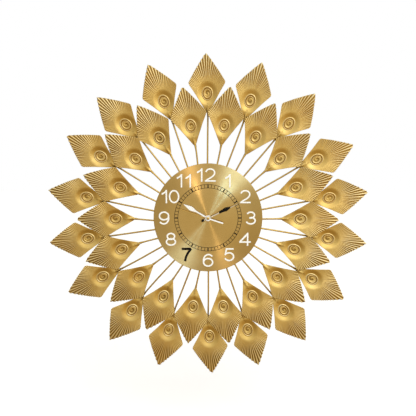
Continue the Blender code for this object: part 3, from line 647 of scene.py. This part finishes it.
def add_leaf(node, material, seed):
    """One pressed leaf: face and back sheets joined by a rounded edge."""
    rng = np.random.default_rng(seed)
    place = leaf_place(node)
    across, along, height, relief_shading, counts, centre = leaf_surface(leaf_outline(node, place), rng)
    middle = zip((0.0, EYE, centre, 0.0), (across, along, height, relief_shading))
    across, along, height, relief_shading = (np.concatenate([[first], rest]) for first, rest in middle)
    front = np.stack([across, -height, along], axis=1)
    back = np.stack([across, LEAF_SHEET - height, along], axis=1)
    outer = counts[-1]
    rim = front[-outer:].copy()
    outward = rim[:, [0, 2]] - (0.0, EYE)
    outward /= np.hypot(outward[:, 0], outward[:, 1])[:, None]
    lip = rim.copy()
    for layer in (front, back):
        layer[-outer:, [0, 2]] -= RIM_INSET * outward
    rim[:, 1] += RIM_STEP
    lip[:, 1] += LEAF_SHEET - RIM_STEP
    total = len(front)
    points = np.concatenate([front, back, rim, lip])
    faces, front_edge = leaf_faces(counts, 0)
    under, back_edge = leaf_faces(counts, total)
    faces += [face[::-1] for face in under]
    rim_start = 2 * total
    lip_start = rim_start + outer
    for i in range(outer):
        j = (i + 1) % outer
        faces.append((front_edge + i, rim_start + i, rim_start + j, front_edge + j))
        faces.append((rim_start + i, lip_start + i, lip_start + j, rim_start + j))
        faces.append((lip_start + i, back_edge + i, back_edge + j, lip_start + j))
    # Painted highlight along the rim: its points take their row's relief shading raised by 0.3, so the edge
    # is painted paler. The back takes the face's shading turned over.
    edge_shading = relief_shading[-outer:] + 0.3
    relief_shading = np.concatenate([relief_shading, -relief_shading, edge_shading, edge_shading])
    piece = mesh_piece(f"{node}_pressed", points, faces, material, "clock_frame", relief_shading, place)
    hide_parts(node)
    return place


def add_leaves(material):
    places = []
    for number in range(1, 19):
        for kind, seed in (("outer", number), ("inner", 100 + number)):
            places.append(add_leaf(f"{kind}_leaf_{number:02d}", material, seed))
    return places


# Rods, hub plate and hanger

ROD_RADIUS = 1.5
ROD_DROP = 1.8
RODS_LOW_AT_DIAL = 4.0
RODS_BACK_AT_DIAL = 1.0
ROD_UNDER_LEAF = 15.0
ROD_START = 50.0
ROD_SIDES = 20
ROD_STEPS = 60
ROD_WANDER = 0.35
ROD_SWELL = 0.35
ROD_TAPER = 8.0
ROD_WELD = 4.0
HANGER_EDGE = 0.3
PLATE_RADIUS = 72.0
PLATE_BACK = 17.6
PLATE_FACE = 18.8
PLATE_EDGE = 0.25
HOLE_RADIUS = 4.3
HANGER_HALF_WIDTH = 9.0
HANGER_METAL = 1.5
HANGER_FOOT = 33.0
HANGER_BEND = 45.0
HANGER_TOP = 70.0
HANGER_BEND_RADIUS = 2.0
KEYHOLE_Z = 53.0
KEYHOLE_RADIUS = 4.5
KEYHOLE_SLOT_RADIUS = 2.5
KEYHOLE_SLOT_TOP = 62.0


def add_rods(places, material):
    """All rods as one piece: each runs from the hub plate, past the dial's edge, to behind its leaf."""
    points = []
    faces = []
    rng = np.random.default_rng(7)
    turn = np.arange(ROD_SIDES) * 2 * math.pi / ROD_SIDES
    dial_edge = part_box("dial")[1].x / MM
    for ray, place in enumerate(places):
        angle = 2 * math.pi * ray / len(places)
        out = Vector((math.sin(angle), 0.0, math.cos(angle)))
        side = Vector((out.z, 0.0, -out.x))
        base = place.translation / MM
        reach = base.dot(out)
        at_leaf = base.dot(side)
        at_dial = RODS_LOW_AT_DIAL * math.sin(angle) - RODS_BACK_AT_DIAL
        front = -base.y - ROD_DROP
        bow, wave = rng.normal(0.0, ROD_WANDER, 2)
        start = len(points)
        end = reach + ROD_UNDER_LEAF
        for step in range(ROD_STEPS + 1):
            share = step / ROD_STEPS
            distance = ROD_START + (end - ROD_START) * share
            taper = float(smoothstep(np.array(distance), end - ROD_TAPER, end))
            weld = math.exp(-((distance - reach + 1.0) / ROD_WELD) ** 2)
            swell = 1.0 + ROD_SWELL * (weld - taper)
            shift = at_leaf + (at_dial - at_leaf) * (reach - distance) / (reach - dial_edge)
            shift += bow * math.sin(math.pi * share) + wave * math.sin(2 * math.pi * share)
            for around in turn:
                across = ROD_RADIUS * swell * math.cos(around) + shift
                level = front + ROD_RADIUS * (swell * math.sin(around) - max(swell - 1.0, 0.0))
                point = out * distance + side * across
                points.append((point.x, -level, point.z))
        faces += ring_faces(ROD_STEPS + 1, ROD_SIDES, start)
        faces.append(tuple(range(start, start + ROD_SIDES)))
        last = start + ROD_STEPS * ROD_SIDES
        faces.append(tuple(range(last, last + ROD_SIDES)))
    piece = mesh_piece("rods", points, faces, material, "clock_frame")
    tidy_normals(piece, WIDE_SHARP_EDGE)
    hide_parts("spoke_frame")


def add_plate(material):
    """The round plate that the rods are welded to."""
    edge = PLATE_EDGE
    profile = [
        (HOLE_RADIUS, PLATE_BACK + edge),
        (HOLE_RADIUS, PLATE_FACE - edge),
        (HOLE_RADIUS + edge, PLATE_FACE),
        (PLATE_RADIUS * 0.5, PLATE_FACE),
        (PLATE_RADIUS - edge, PLATE_FACE),
        (PLATE_RADIUS, PLATE_FACE - edge),
        (PLATE_RADIUS, PLATE_BACK + edge),
        (PLATE_RADIUS - edge, PLATE_BACK),
        (PLATE_RADIUS * 0.5, PLATE_BACK),
        (HOLE_RADIUS + edge, PLATE_BACK),
    ]
    piece = turned_piece("hub_plate", profile, 180, material, "clock_frame", 50.0)
    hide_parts("spoke_frame")


def add_hanger(material):
    """A bent strap: its foot is welded behind the hub plate, and its top has the keyhole."""
    foot = PLATE_BACK - HANGER_METAL / 2
    wall = HANGER_METAL / 2
    turn = HANGER_BEND_RADIUS + HANGER_METAL / 2
    path = [(foot, HANGER_FOOT)]
    rise = HANGER_BEND - HANGER_METAL / 2
    path += arc((foot - turn, rise - turn), turn, turn, 0.0, 90.0, 8)
    path += arc((wall + turn, rise + turn), turn, turn, 270.0, 180.0, 8)
    path.append((wall, HANGER_TOP))
    bm = bmesh.new()
    middle = [Vector(point) for point in path]
    rows = []
    for i, point in enumerate(middle):
        before = (point - middle[i - 1]).normalized() if i else (middle[1] - point).normalized()
        after = (middle[i + 1] - point).normalized() if i + 1 < len(middle) else before
        across = Vector((-(before + after).y, (before + after).x)).normalized() * HANGER_METAL / 2
        row = []
        for x, sign in ((-1, -1), (1, -1), (1, 1), (-1, 1)):
            spot = point + across * sign
            row.append(bm.verts.new((x * HANGER_HALF_WIDTH * MM, -spot.x * MM, spot.y * MM)))
        rows.append(row)
    for near, far in zip(rows, rows[1:]):
        for i in range(4):
            bm.faces.new((near[i - 1], near[i], far[i], far[i - 1]))
    bm.faces.new(rows[0])
    bm.faces.new(rows[-1])
    bmesh.ops.recalc_face_normals(bm, faces=bm.faces)
    piece = bmesh_piece("hanger", bm, material, "clock_frame")
    meet = math.degrees(math.asin(KEYHOLE_SLOT_RADIUS / KEYHOLE_RADIUS))
    centre = (0.0, KEYHOLE_Z)
    round_hole = arc(centre, KEYHOLE_RADIUS, KEYHOLE_RADIUS, 90.0 + meet, 450.0 - meet, 32)
    slot = arc((0.0, KEYHOLE_SLOT_TOP), KEYHOLE_SLOT_RADIUS, KEYHOLE_SLOT_RADIUS, 0.0, 180.0, 16)
    cut_away(piece, extruded(round_hole + slot, -1.0, HANGER_METAL + 1.0))
    round_edges(piece, HANGER_EDGE)
    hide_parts("spoke_frame")


def boolean_mesh(item, operation, tools):
    """The mesh that an object has after a boolean with each tool in turn."""
    for tool in tools:
        modifier = item.modifiers.new("boolean", "BOOLEAN")
        modifier.operation = operation
        modifier.object = tool
    bpy.context.view_layer.update()
    return bpy.data.meshes.new_from_object(item.evaluated_get(bpy.context.evaluated_depsgraph_get()))


def cut_away(piece, cutter):
    """Cut a prism out of a piece for good."""
    tool = add_object("cutter", mesh_from(cutter, "cutter"))
    cut = boolean_mesh(piece, "DIFFERENCE", [tool])
    piece.modifiers.clear()
    piece.data = cut
    cut.set_sharp_from_angle(angle=math.radians(SHARP_EDGE))
    bpy.data.objects.remove(tool, do_unlink=True)


def extruded(outline, low, high, holes=()):
    """A bmesh prism between two fronts, from (x, z) outlines."""
    bm = bmesh.new()
    outlines = (outline, *holes)
    ends = []
    for front in (low, high):
        ends.append([[bm.verts.new((x * MM, -front * MM, z * MM)) for x, z in line] for line in outlines])
    rims = [[bm.edges.new((loop[i - 1], loop[i])) for loop in end for i in range(len(loop))] for end in ends]
    for near, far in zip(*ends):
        for i in range(len(near)):
            bm.faces.new((near[i - 1], near[i], far[i], far[i - 1]))
    for rim in rims:
        bmesh.ops.triangle_fill(bm, use_beauty=True, use_dissolve=True, edges=rim)
    bmesh.ops.recalc_face_normals(bm, faces=bm.faces)
    return bm


def bmesh_piece(name, bm, material, body):
    """A piece from a bmesh in metres, riding on a body, with its sharp edges kept crisp."""
    mesh = mesh_from(bm, name, material)
    mesh.shade_smooth()
    mesh.set_sharp_from_angle(angle=math.radians(SHARP_EDGE))
    piece = add_object(name, mesh)
    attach(piece, body)
    return piece


def round_edges(piece, width, angle=SHARP_EDGE):
    modifier = piece.modifiers.new("edges", "BEVEL")
    modifier.width = width * MM
    modifier.segments = 2
    modifier.limit_method = "ANGLE"
    modifier.angle_limit = math.radians(angle)
    modifier.use_clamp_overlap = False
    modifier.harden_normals = True


def add_dial(material):
    """The brushed disc: a rounded edge, a flange turned back and a hole for the bush."""
    low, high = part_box("dial")
    radius = high.x / MM
    face = -low.y / MM
    flange = -high.y / MM
    back = face - DIAL_SHEET
    profile = [
        (HOLE_RADIUS, back),
        (HOLE_RADIUS, face - DIAL_HOLE_DROP),
        (HOLE_RADIUS + DIAL_HOLE_EDGE, face),
        (30.0, face),
        (60.0, face),
    ]
    for i in range(7):
        angle = math.radians(15.0 * i)
        edge = radius - DIAL_ROUND
        drop = DIAL_ROUND * (1.0 - math.cos(angle))
        profile.append((edge + DIAL_ROUND * math.sin(angle), face - drop))
    profile += [
        (radius, flange),
        (radius - DIAL_FLANGE, flange),
        (radius - DIAL_FLANGE, back),
    ]
    piece = turned_piece("dial_brushed", profile, 360, material, "clock_frame", 30.0)
    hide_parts("dial")
    return piece, face


# Numerals: strokes are lists of (x, z) points along their middle, in millimetres

def bend(points, count=8):
    """A smooth curve through the points."""
    padded = [points[0], *points, points[-1]]
    curve = []
    for a, b, c, d in zip(padded, padded[1:], padded[2:], padded[3:]):
        for i in range(count):
            t = i / count
            curve.append(tuple(
                0.5 * (2 * q + (r - p) * t + (2 * p - 5 * q + 4 * r - s) * t * t
                       + (3 * q - p - 3 * r + s) * t ** 3)
                for p, q, r, s in zip(a, b, c, d)
            ))
    curve.append(points[-1])
    return curve


HALF_STROKE = NUMERAL_STROKE / 2
PRISM_STAGGER = 0.01
MIDDLE = DRAWN_HEIGHT / 2 - HALF_STROKE


def digit_strokes(digit):
    """Open strokes as lists of points, and closed rings as (centre, half width, half height)."""
    top = MIDDLE
    if digit == 0:
        return [], [((0.0, 0.0), 8.0, top)]
    if digit == 2:
        hook = arc((-0.2, 3.9), 7.8, top - 3.9, 168.0, -4.0)
        foot = bend([hook[-1], (6.4, 0.4), (2.4, -3.6), (-3.9, -7.2), (-7.9, -top)])
        return [hook[:-1] + foot, [(-9.6, -top), (9.5, -top)]], []
    if digit == 3:
        upper = arc((-0.5, 5.2), 6.7, top - 5.2, 158.0, -90.0)
        lower = arc((-0.5, -4.7), 7.9, top - 4.7, 92.0, -162.0)
        return [upper + [(-3.2, 0.3)], lower], []
    if digit == 5:
        stem = [(7.6, top), (-5.2, top), (-7.3, -0.8)]
        bowl = arc((-0.4, -3.5), 8.0, top - 3.5, 152.0, -158.0)
        return [stem, [(-7.3, -0.8)] + bowl], []
    if digit == 6:
        back = arc((0.9, 0.0), 8.9, top, 42.0, 200.0)
        return [back], [((0.2, -3.6), 8.1, top - 3.6)]
    if digit == 7:
        down = bend([(7.9, top), (2.6, 3.4), (-1.2, -4.4), (-2.7, -top - HALF_STROKE)])
        return [[(-8.8, top), (8.2, top)], down], []
    if digit == 8:
        return [], [((0.0, 5.1), 6.5, top - 5.1), ((0.0, -4.7), 8.0, top - 4.7)]
    strokes, rings = digit_strokes(6)
    turned = [[(-x, -z) for x, z in stroke] for stroke in strokes]
    return turned, [((-c[0], -c[1]), w, h) for c, w, h in rings]


def ribbon(stroke, half):
    """The outline of a stroke with square ends and mitred corners."""
    points = [Vector(point) for point in stroke]
    sides = ([], [])
    for i, point in enumerate(points):
        before = (point - points[i - 1]).normalized() if i else None
        after = (points[i + 1] - point).normalized() if i + 1 < len(points) else None
        before = before or after
        after = after or before
        across = Vector((-(before + after).y, (before + after).x)).normalized()
        reach = half / max(across.dot(Vector((-after.y, after.x))), 0.4)
        sides[0].append(tuple(point + across * reach))
        sides[1].append(tuple(point - across * reach))
    return sides[1] + sides[0][::-1]


def glyph_prisms(digit, low, high):
    """Prisms whose union is the digit."""
    top = DRAWN_HEIGHT / 2
    half = HALF_STROKE * (SEVEN_STROKE / NUMERAL_STROKE if digit == 7 else 1.0)
    if digit == 1:
        stem = 2 * half
        outline = [(4.6, -top), (4.6, top), (2.5, top), (0.2, 8.6), (-5.0, 5.9), (-5.0, 3.0),
                   (-2.0, 4.1), (4.6 - stem, 6.9), (4.6 - stem, -top)]
        return [extruded(outline, low, high)]
    if digit == 4:
        bar = 2 * half
        outline = [(3.2, -top), (3.2 + bar, -top), (3.2 + bar, -6.3), (10.2, -6.3),
                   (10.2, -6.3 + bar), (3.2 + bar, -6.3 + bar), (3.2 + bar, top), (3.9, top),
                   (-10.3, -6.3 + bar), (-10.3, -6.3), (3.2, -6.3)]
        hole = [(3.2, -6.3 + bar), (3.2, 6.4), (-6.3, -6.3 + bar)]
        return [extruded(outline, low, high, [hole])]
    strokes, rings = digit_strokes(digit)
    shapes = [(ribbon(stroke, half), ()) for stroke in strokes]
    for centre, half_width, half_height in rings:
        outer = ellipse(centre, half_width + half, half_height + half)
        inner = ellipse(centre, half_width - half, half_height - half)
        shapes.append((outer, (inner,)))
    prisms = []
    for i, (outer, holes) in enumerate(shapes):
        prisms.append(extruded(outer, low + PRISM_STAGGER * i, high - PRISM_STAGGER * i, holes))
    return prisms


def united(name, prisms, material):
    """One mesh from overlapping prisms."""
    objects = [add_object(f"{name}_{i}", mesh_from(bm, name, material)) for i, bm in enumerate(prisms)]
    mesh = boolean_mesh(objects[0], "UNION", objects[1:])
    for item in objects:
        bpy.data.objects.remove(item, do_unlink=True)
    return mesh


def digit_mesh(digit, low, high, material, cache):
    """A digit's mesh, made once for each digit."""
    if digit not in cache:
        cache[digit] = united(f"digit_{digit}", glyph_prisms(digit, low, high), material)
    return cache[digit]


def add_numerals(face, white, black):
    """The twelve hours, upright, in white but for the 7, painted black as a painted reflection of something
    dark in its face.
    """
    low = face + DIAL_LIFT
    high = low + NUMERAL_THICKNESS
    size = NUMERAL_HEIGHT / DRAWN_HEIGHT
    grow = Matrix.Diagonal((size, 1.0, size))
    cache = {}
    for hour in range(1, 13):
        angle = math.radians(30.0 * hour)
        centre = NUMERAL_RADIUS * math.sin(angle) + NUMERAL_SHIFTS.get(hour, 0.0)
        height = NUMERAL_RADIUS * math.cos(angle)
        # Painted reflection: the 7 takes black paint in place of a dark reflection in its face.
        material = black if hour == 7 else white
        bm = bmesh.new()
        for digit, shift in zip(str(hour), DIGIT_PLACES.get(hour, (0.0,))):
            mesh = digit_mesh(int(digit), low, high, material, cache)
            start = len(bm.verts)
            bm.from_mesh(mesh)
            bm.verts.ensure_lookup_table()
            bmesh.ops.transform(bm, matrix=grow.to_4x4(), verts=bm.verts[start:])
            offset = Vector(((centre + shift * size) * MM, 0.0, height * MM))
            bmesh.ops.translate(bm, vec=offset, verts=bm.verts[start:])
        piece = bmesh_piece(f"numeral_{hour:02d}", bm, material, "clock_frame")
        round_edges(piece, NUMERAL_EDGE)


def add_track(face, material):
    """Two fine rings joined by sixty bars, heavier at each hour."""
    low = face + DIAL_LIFT
    high = low + TRACK_THICKNESS
    bm = bmesh.new()
    parts = []
    for radius in (TRACK_OUTER, TRACK_INNER):
        outer = circle(radius + TRACK_LINE / 2, 240)
        inner = circle(radius - TRACK_LINE / 2, 240)
        parts.append(extruded(outer, low, high, [inner]))
    for minute in range(60):
        angle = math.radians(6.0 * minute)
        half = (TRACK_HOUR_BAR if minute % 5 == 0 else TRACK_BAR) / 2
        inner = TRACK_INNER + TRACK_LINE / 2
        outer = TRACK_OUTER - TRACK_LINE / 2
        out = (math.sin(angle), math.cos(angle))
        bar = []
        for radius, side in ((inner, -half), (inner, half), (outer, half), (outer, -half)):
            bar.append((radius * out[0] + side * out[1], radius * out[1] - side * out[0]))
        parts.append(extruded(bar, low, high))
    for part in parts:
        mesh = mesh_from(part, "part")
        bm.from_mesh(mesh)
        bpy.data.meshes.remove(mesh)
    piece = bmesh_piece("minute_track", bm, material, "clock_frame")


# Hands: outlines are drawn pointing at twelve, as (distance, half width) points out from the hub

HAND_EDGE = 0.12
HOUR_ANGLE = 300.0
HOUR_LEVELS = (24.2, 24.9)
HOUR_HUB = 5.4
HOUR_BLADE = ((0.0, 1.5), (14.0, 1.45), (25.0, 1.35), (29.0, 2.3), (34.5, 3.9), (38.0, 3.9),
              (43.0, 2.7), (52.4, 0.15))
HOUR_BOSS = ((3.0, 24.3), (3.0, 25.2), (3.1, 25.3), (4.3, 25.3), (4.6, 25.0), (4.6, 24.3))
MINUTE_ANGLE = 63.9
MINUTE_LEVELS = (26.0, 26.6)
MINUTE_HUB = 3.7
MINUTE_BLADE = ((0.0, 1.1), (12.0, 1.1), (22.8, 1.05), (23.3, 1.7), (29.0, 1.75), (32.5, 2.2),
                (37.0, 3.3), (41.5, 2.1), (45.8, 0.9), (46.2, 0.6), (62.7, 0.12))
MINUTE_TAIL = ((0.0, 1.0), (7.0, 1.1), (8.5, 1.7), (12.8, 1.8), (13.4, 1.2))
MINUTE_BLACK = ((-13.5, -8.0), (23.0, 46.0))
MINUTE_BOSS = ((1.85, 26.1), (1.85, 26.9), (1.95, 27.0), (3.0, 27.0), (3.3, 26.7), (3.3, 26.1))
SECOND_ANGLE = 288.0
SECOND_LEVELS = (27.7, 28.2)
SECOND_HUB = 3.2
SECOND_POINTER_HUB = 1.0
SECOND_POINTER = ((0.0, 0.5), (20.0, 0.45), (59.9, 0.2))
SECOND_TAIL = ((0.0, 1.0), (10.0, 1.25), (28.9, 1.35), (29.7, 0.8))
SECOND_CAP = ((0.0, 29.5), (1.2, 29.42), (2.1, 29.15), (2.55, 28.7), (2.6, 28.1), (0.0, 28.1))


def hand_outline(hub, blade, tail=()):
    """A hand's closed outline: the blade and the tail joined by the hub's circle."""
    start = math.degrees(math.acos(blade[0][1] / hub))
    right = [(half, distance) for distance, half in blade if distance > hub]
    left = [(-x, z) for x, z in reversed(right)]
    if not tail:
        return right + left + arc((0.0, 0.0), hub, hub, 180.0 - start, 360.0 + start, 40)
    lower = math.degrees(math.acos(tail[0][1] / hub))
    down = [(-half, -distance) for distance, half in tail if distance > hub]
    up = [(-x, z) for x, z in reversed(down)]
    left_arc = arc((0.0, 0.0), hub, hub, 180.0 - start, 180.0 + lower, 16)
    right_arc = arc((0.0, 0.0), hub, hub, 360.0 - lower, 360.0 + start, 16)
    return right + left + left_arc + down + up + right_arc


def hand_piece(name, node, body, angle, levels, outline, holes, materials, dark=()):
    """A stamped hand with rounded edges. The stretches listed in dark take the second material."""
    bm = extruded(outline, *levels, holes)
    for stretch in dark:
        for distance in stretch:
            geometry = bm.verts[:] + bm.edges[:] + bm.faces[:]
            cut = (0.0, 0.0, distance * MM)
            bmesh.ops.bisect_plane(bm, geom=geometry, plane_co=cut, plane_no=(0.0, 0.0, 1.0))
    for face in bm.faces:
        distance = face.calc_center_median().z / MM
        face.material_index = int(any(low < distance < high for low, high in dark))
    turn = Matrix.Rotation(math.radians(angle), 3, "Y")
    bmesh.ops.rotate(bm, cent=(0.0, 0.0, 0.0), matrix=turn, verts=bm.verts)
    piece = bmesh_piece(name, bm, materials[0], body)
    for material in materials[1:]:
        piece.data.materials.append(material)
    round_edges(piece, HAND_EDGE)
    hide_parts(node)
    return piece


def boss_piece(name, node, body, profile, material):
    """A turned collar or cap on a hand's hub."""
    piece = turned_piece(name, profile, 64, material, body, 35.0)
    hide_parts(node)
    return piece


def add_hands(white, steel, black, gold):
    hour = ("hour_hand", "hours")
    outline = hand_outline(HOUR_HUB, HOUR_BLADE)
    piece = hand_piece("hour_hand_lacquered", *hour, HOUR_ANGLE, HOUR_LEVELS, outline,
                       [circle(HOUR_BOSS[0][0], 40)], (white,))
    boss_piece("hour_hand_collar", *hour, HOUR_BOSS, white)

    minute = ("minute_hand", "minutes")
    outline = hand_outline(MINUTE_HUB, MINUTE_BLADE, MINUTE_TAIL)
    piece = hand_piece("minute_hand_stamped", *minute, MINUTE_ANGLE, MINUTE_LEVELS, outline,
                       [circle(MINUTE_BOSS[0][0], 32)], (steel, black), MINUTE_BLACK)
    boss_piece("minute_hand_collar", *minute, MINUTE_BOSS, steel)

    second = ("second_hand", "seconds")
    outline = hand_outline(SECOND_POINTER_HUB, SECOND_POINTER)
    piece = hand_piece("second_hand_pointer", *second, SECOND_ANGLE, SECOND_LEVELS, outline, (), (gold,))
    outline = hand_outline(SECOND_HUB, SECOND_TAIL)
    piece = hand_piece("second_hand_tail", *second, SECOND_ANGLE + 180.0, SECOND_LEVELS, outline,
                       (), (white,))
    boss_piece("second_hand_cap", *second, SECOND_CAP, gold)


def finish_nodes(materials):
    """Every CAD node takes the finish of its material slot."""
    for entry in frame["record"]["subparts"]:
        item = frame["nodes"][entry["node"]]
        item.data.materials.clear()
        item.data.materials.append(materials[entry["material_slot"]])


def add_softened(node, width, materials):
    """A piece in a CAD node's place: the same shape with its edges rounded."""
    record = frame["record"]
    slot = next(entry["material_slot"] for entry in record["subparts"] if entry["node"] == node)
    body = next(name for name, members in record["behaviour"]["bodies"].items() if node in members)
    bm = bmesh.new()
    bm.from_mesh(frame["nodes"][node].data)
    bmesh.ops.remove_doubles(bm, verts=bm.verts, dist=WELD_DISTANCE * MM)
    piece = bmesh_piece(f"{node}_softened", bm, materials[slot], body)
    round_edges(piece, width, WIDE_SHARP_EDGE)
    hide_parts(node)


# Camera, light and floor

def add_camera():
    data = bpy.data.cameras.new("camera")
    data.lens = CAMERA_LENS
    camera = add_object("camera", data)
    elevation = math.radians(CAMERA_ELEVATION)
    back = Vector((0.0, -math.cos(elevation), math.sin(elevation)))
    camera.location = back * CAMERA_DISTANCE
    look = (-back).to_track_quat("-Z", "Y").to_matrix().to_4x4()
    pitch = Matrix.Rotation(math.radians(CAMERA_PITCH), 4, "X")
    camera.matrix_world = Matrix.Translation(camera.location) @ look @ pitch
    bpy.context.scene.camera = camera


def add_light(name, clock_angle, tilt, distance, size, power, colour, only=None):
    """A square softbox, toward that clock angle and tilted out from the dial's axis.

    It lights everything, or only the pieces that are listed.
    """
    data = bpy.data.lights.new(name, "AREA")
    data.energy = power
    data.size = size
    data.color = colour
    light = add_object(name, data)
    around = math.radians(clock_angle)
    out = math.radians(tilt)
    toward = Vector((math.sin(out) * math.sin(around), -math.cos(out), math.sin(out) * math.cos(around)))
    light.location = toward * distance
    light.rotation_mode = "QUATERNION"
    light.rotation_quaternion = toward.to_track_quat("Z", "Y")
    if only:
        receivers = bpy.data.collections.new(name)
        for piece in only:
            receivers.objects.link(piece)
        light.light_linking.receiver_collection = receivers


def add_world():
    """White to the camera. To the metal, a room bright above and at the right, dim below and behind."""
    world = bpy.data.worlds.new("studio")
    world.use_nodes = True
    bpy.context.scene.world = world
    g = WorldGraph(world)
    toward = g.axes(g.node("ShaderNodeTexCoord").outputs["Generated"])
    ramp = g.node("ShaderNodeValToRGB")
    g.link(g.remap(toward["Z"], -1.0, 1.0, 0.0, 1.0), ramp.inputs["Fac"])
    stops = (
        (0.00, (0.20, 0.11, 0.03)),
        (0.28, (0.60, 0.39, 0.11)),
        (0.46, (0.78, 0.68, 0.50)),
        (0.56, (0.84, 0.82, 0.74)),
        (0.76, (1.15, 1.12, 1.02)),
        (1.00, (1.30, 1.25, 1.15)),
    )
    points = ramp.color_ramp.elements
    points[0].color = (*stops[0][1], 1.0)
    points[1].color = (*stops[-1][1], 1.0)
    for position, colour in stops[1:-1]:
        points.new(position).color = (*colour, 1.0)
    room = g.node("ShaderNodeBackground")
    g.link(ramp.outputs["Color"], room.inputs["Color"])
    sides = g.remap(toward["X"], -0.8, 0.8, 0.62, 1.2)
    behind = g.remap(toward["Y"], -0.3, 0.4, 1.0, 0.15)
    g.link(g.maths("MULTIPLY", sides, behind), room.inputs["Strength"])
    seen = g.tree.nodes["Background"]
    seen.inputs["Color"].default_value = (1.0, 1.0, 1.0, 1.0)
    seen.inputs["Strength"].default_value = 1.0
    mix = g.node("ShaderNodeMixShader")
    g.link(g.node("ShaderNodeLightPath").outputs["Is Camera Ray"], mix.inputs["Fac"])
    g.link(room.outputs["Background"], mix.inputs[1])
    g.link(seen.outputs["Background"], mix.inputs[2])
    g.link(mix.outputs["Shader"], g.tree.nodes["World Output"].inputs["Surface"])


def add_floor():
    g = Graph("pale_floor")
    speckle = g.noise(14.0, 4.0)
    g.colour(g.blend(speckle, 0.3, 0.7, (0.93, 0.93, 0.93), (0.96, 0.96, 0.96)))
    g.set(Roughness=0.8, Emission_Color=(1.0, 1.0, 1.0), Emission_Strength=0.5)
    bm = bmesh.new()
    bmesh.ops.create_circle(bm, cap_ends=True, segments=96, radius=FLOOR_RADIUS)
    floor = add_object("floor", mesh_from(bm, "floor", g.material))
    floor.location.z = -FLOOR_BELOW
    floor.visible_glossy = False


def main():
    bpy.context.scene.view_settings.view_transform = "Standard"
    add_camera()
    add_world()
    add_floor()
    white = paint("white_lacquer", (0.90, 0.90, 0.88), (0.84, 0.84, 0.82), 0.3, 0.42, 90.0,
                  Coat_Weight=0.2, Coat_Roughness=0.2)
    # Black paint for the minute hand's black stretches, and on the 7 a painted reflection.
    black = black_paint("black_trim_and_painted_reflection")
    silver = metal("silver_plate", (0.93, 0.93, 0.91), (0.80, 0.80, 0.79), 0.22, 0.36)
    rod = gold_rod()
    dial = gold_dial()
    leaf = gold_leaf()
    materials = {
        "gold_leaf": leaf,
        "gold_rod": rod,
        "gold_dial": dial,
        "white_lacquer": white,
        "hand_steel": silver,
        "brass": metal("brass", (0.80, 0.58, 0.24), (0.64, 0.43, 0.15), 0.22, 0.4),
        "steel": metal("steel", (0.62, 0.62, 0.63), (0.48, 0.48, 0.50), 0.25, 0.4),
        "black_plastic": plastic("black_plastic", (0.022, 0.022, 0.024), (0.035, 0.035, 0.037), 0.4, 0.6),
        "white_nylon": plastic("white_nylon", (0.82, 0.81, 0.76), (0.74, 0.73, 0.68), 0.4, 0.55),
        "rubber": plastic("rubber", (0.03, 0.03, 0.03), (0.05, 0.05, 0.05), 0.7, 0.9),
        "circuit_green": plastic("circuit_green", (0.02, 0.16, 0.07), (0.03, 0.22, 0.09), 0.3, 0.45),
        "copper": metal("copper", (0.80, 0.36, 0.16), (0.62, 0.24, 0.10), 0.25, 0.4),
        "cell_wrap": cell_wrap(),
    }
    finish_nodes(materials)
    for node, width in SOFTENED_NODES.items():
        add_softened(node, width, materials)
    places = add_leaves(leaf)
    add_rods(places, rod)
    add_plate(rod)
    add_hanger(rod)
    disc, face = add_dial(dial)
    add_numerals(face, white, black)
    add_track(face, black_paint("track_ink"))
    add_hands(white, silver, black, rod)
    add_light("key_softbox", 38.0, 42.0, 1.8, 0.8, 5.3, (1.0, 0.98, 0.93))
    add_light("cool_pane_left", 34.0, 22.0, 1.8, 0.06, 2.7, (0.24, 0.52, 1.0), [disc])
    add_light("cool_pane_right", 50.0, 22.0, 1.8, 0.06, 2.7, (0.24, 0.52, 1.0), [disc])
    add_light("warm_lamp", 333.0, 22.0, 1.8, 0.06, 2.6, (1.0, 0.76, 0.56), [disc])


main()
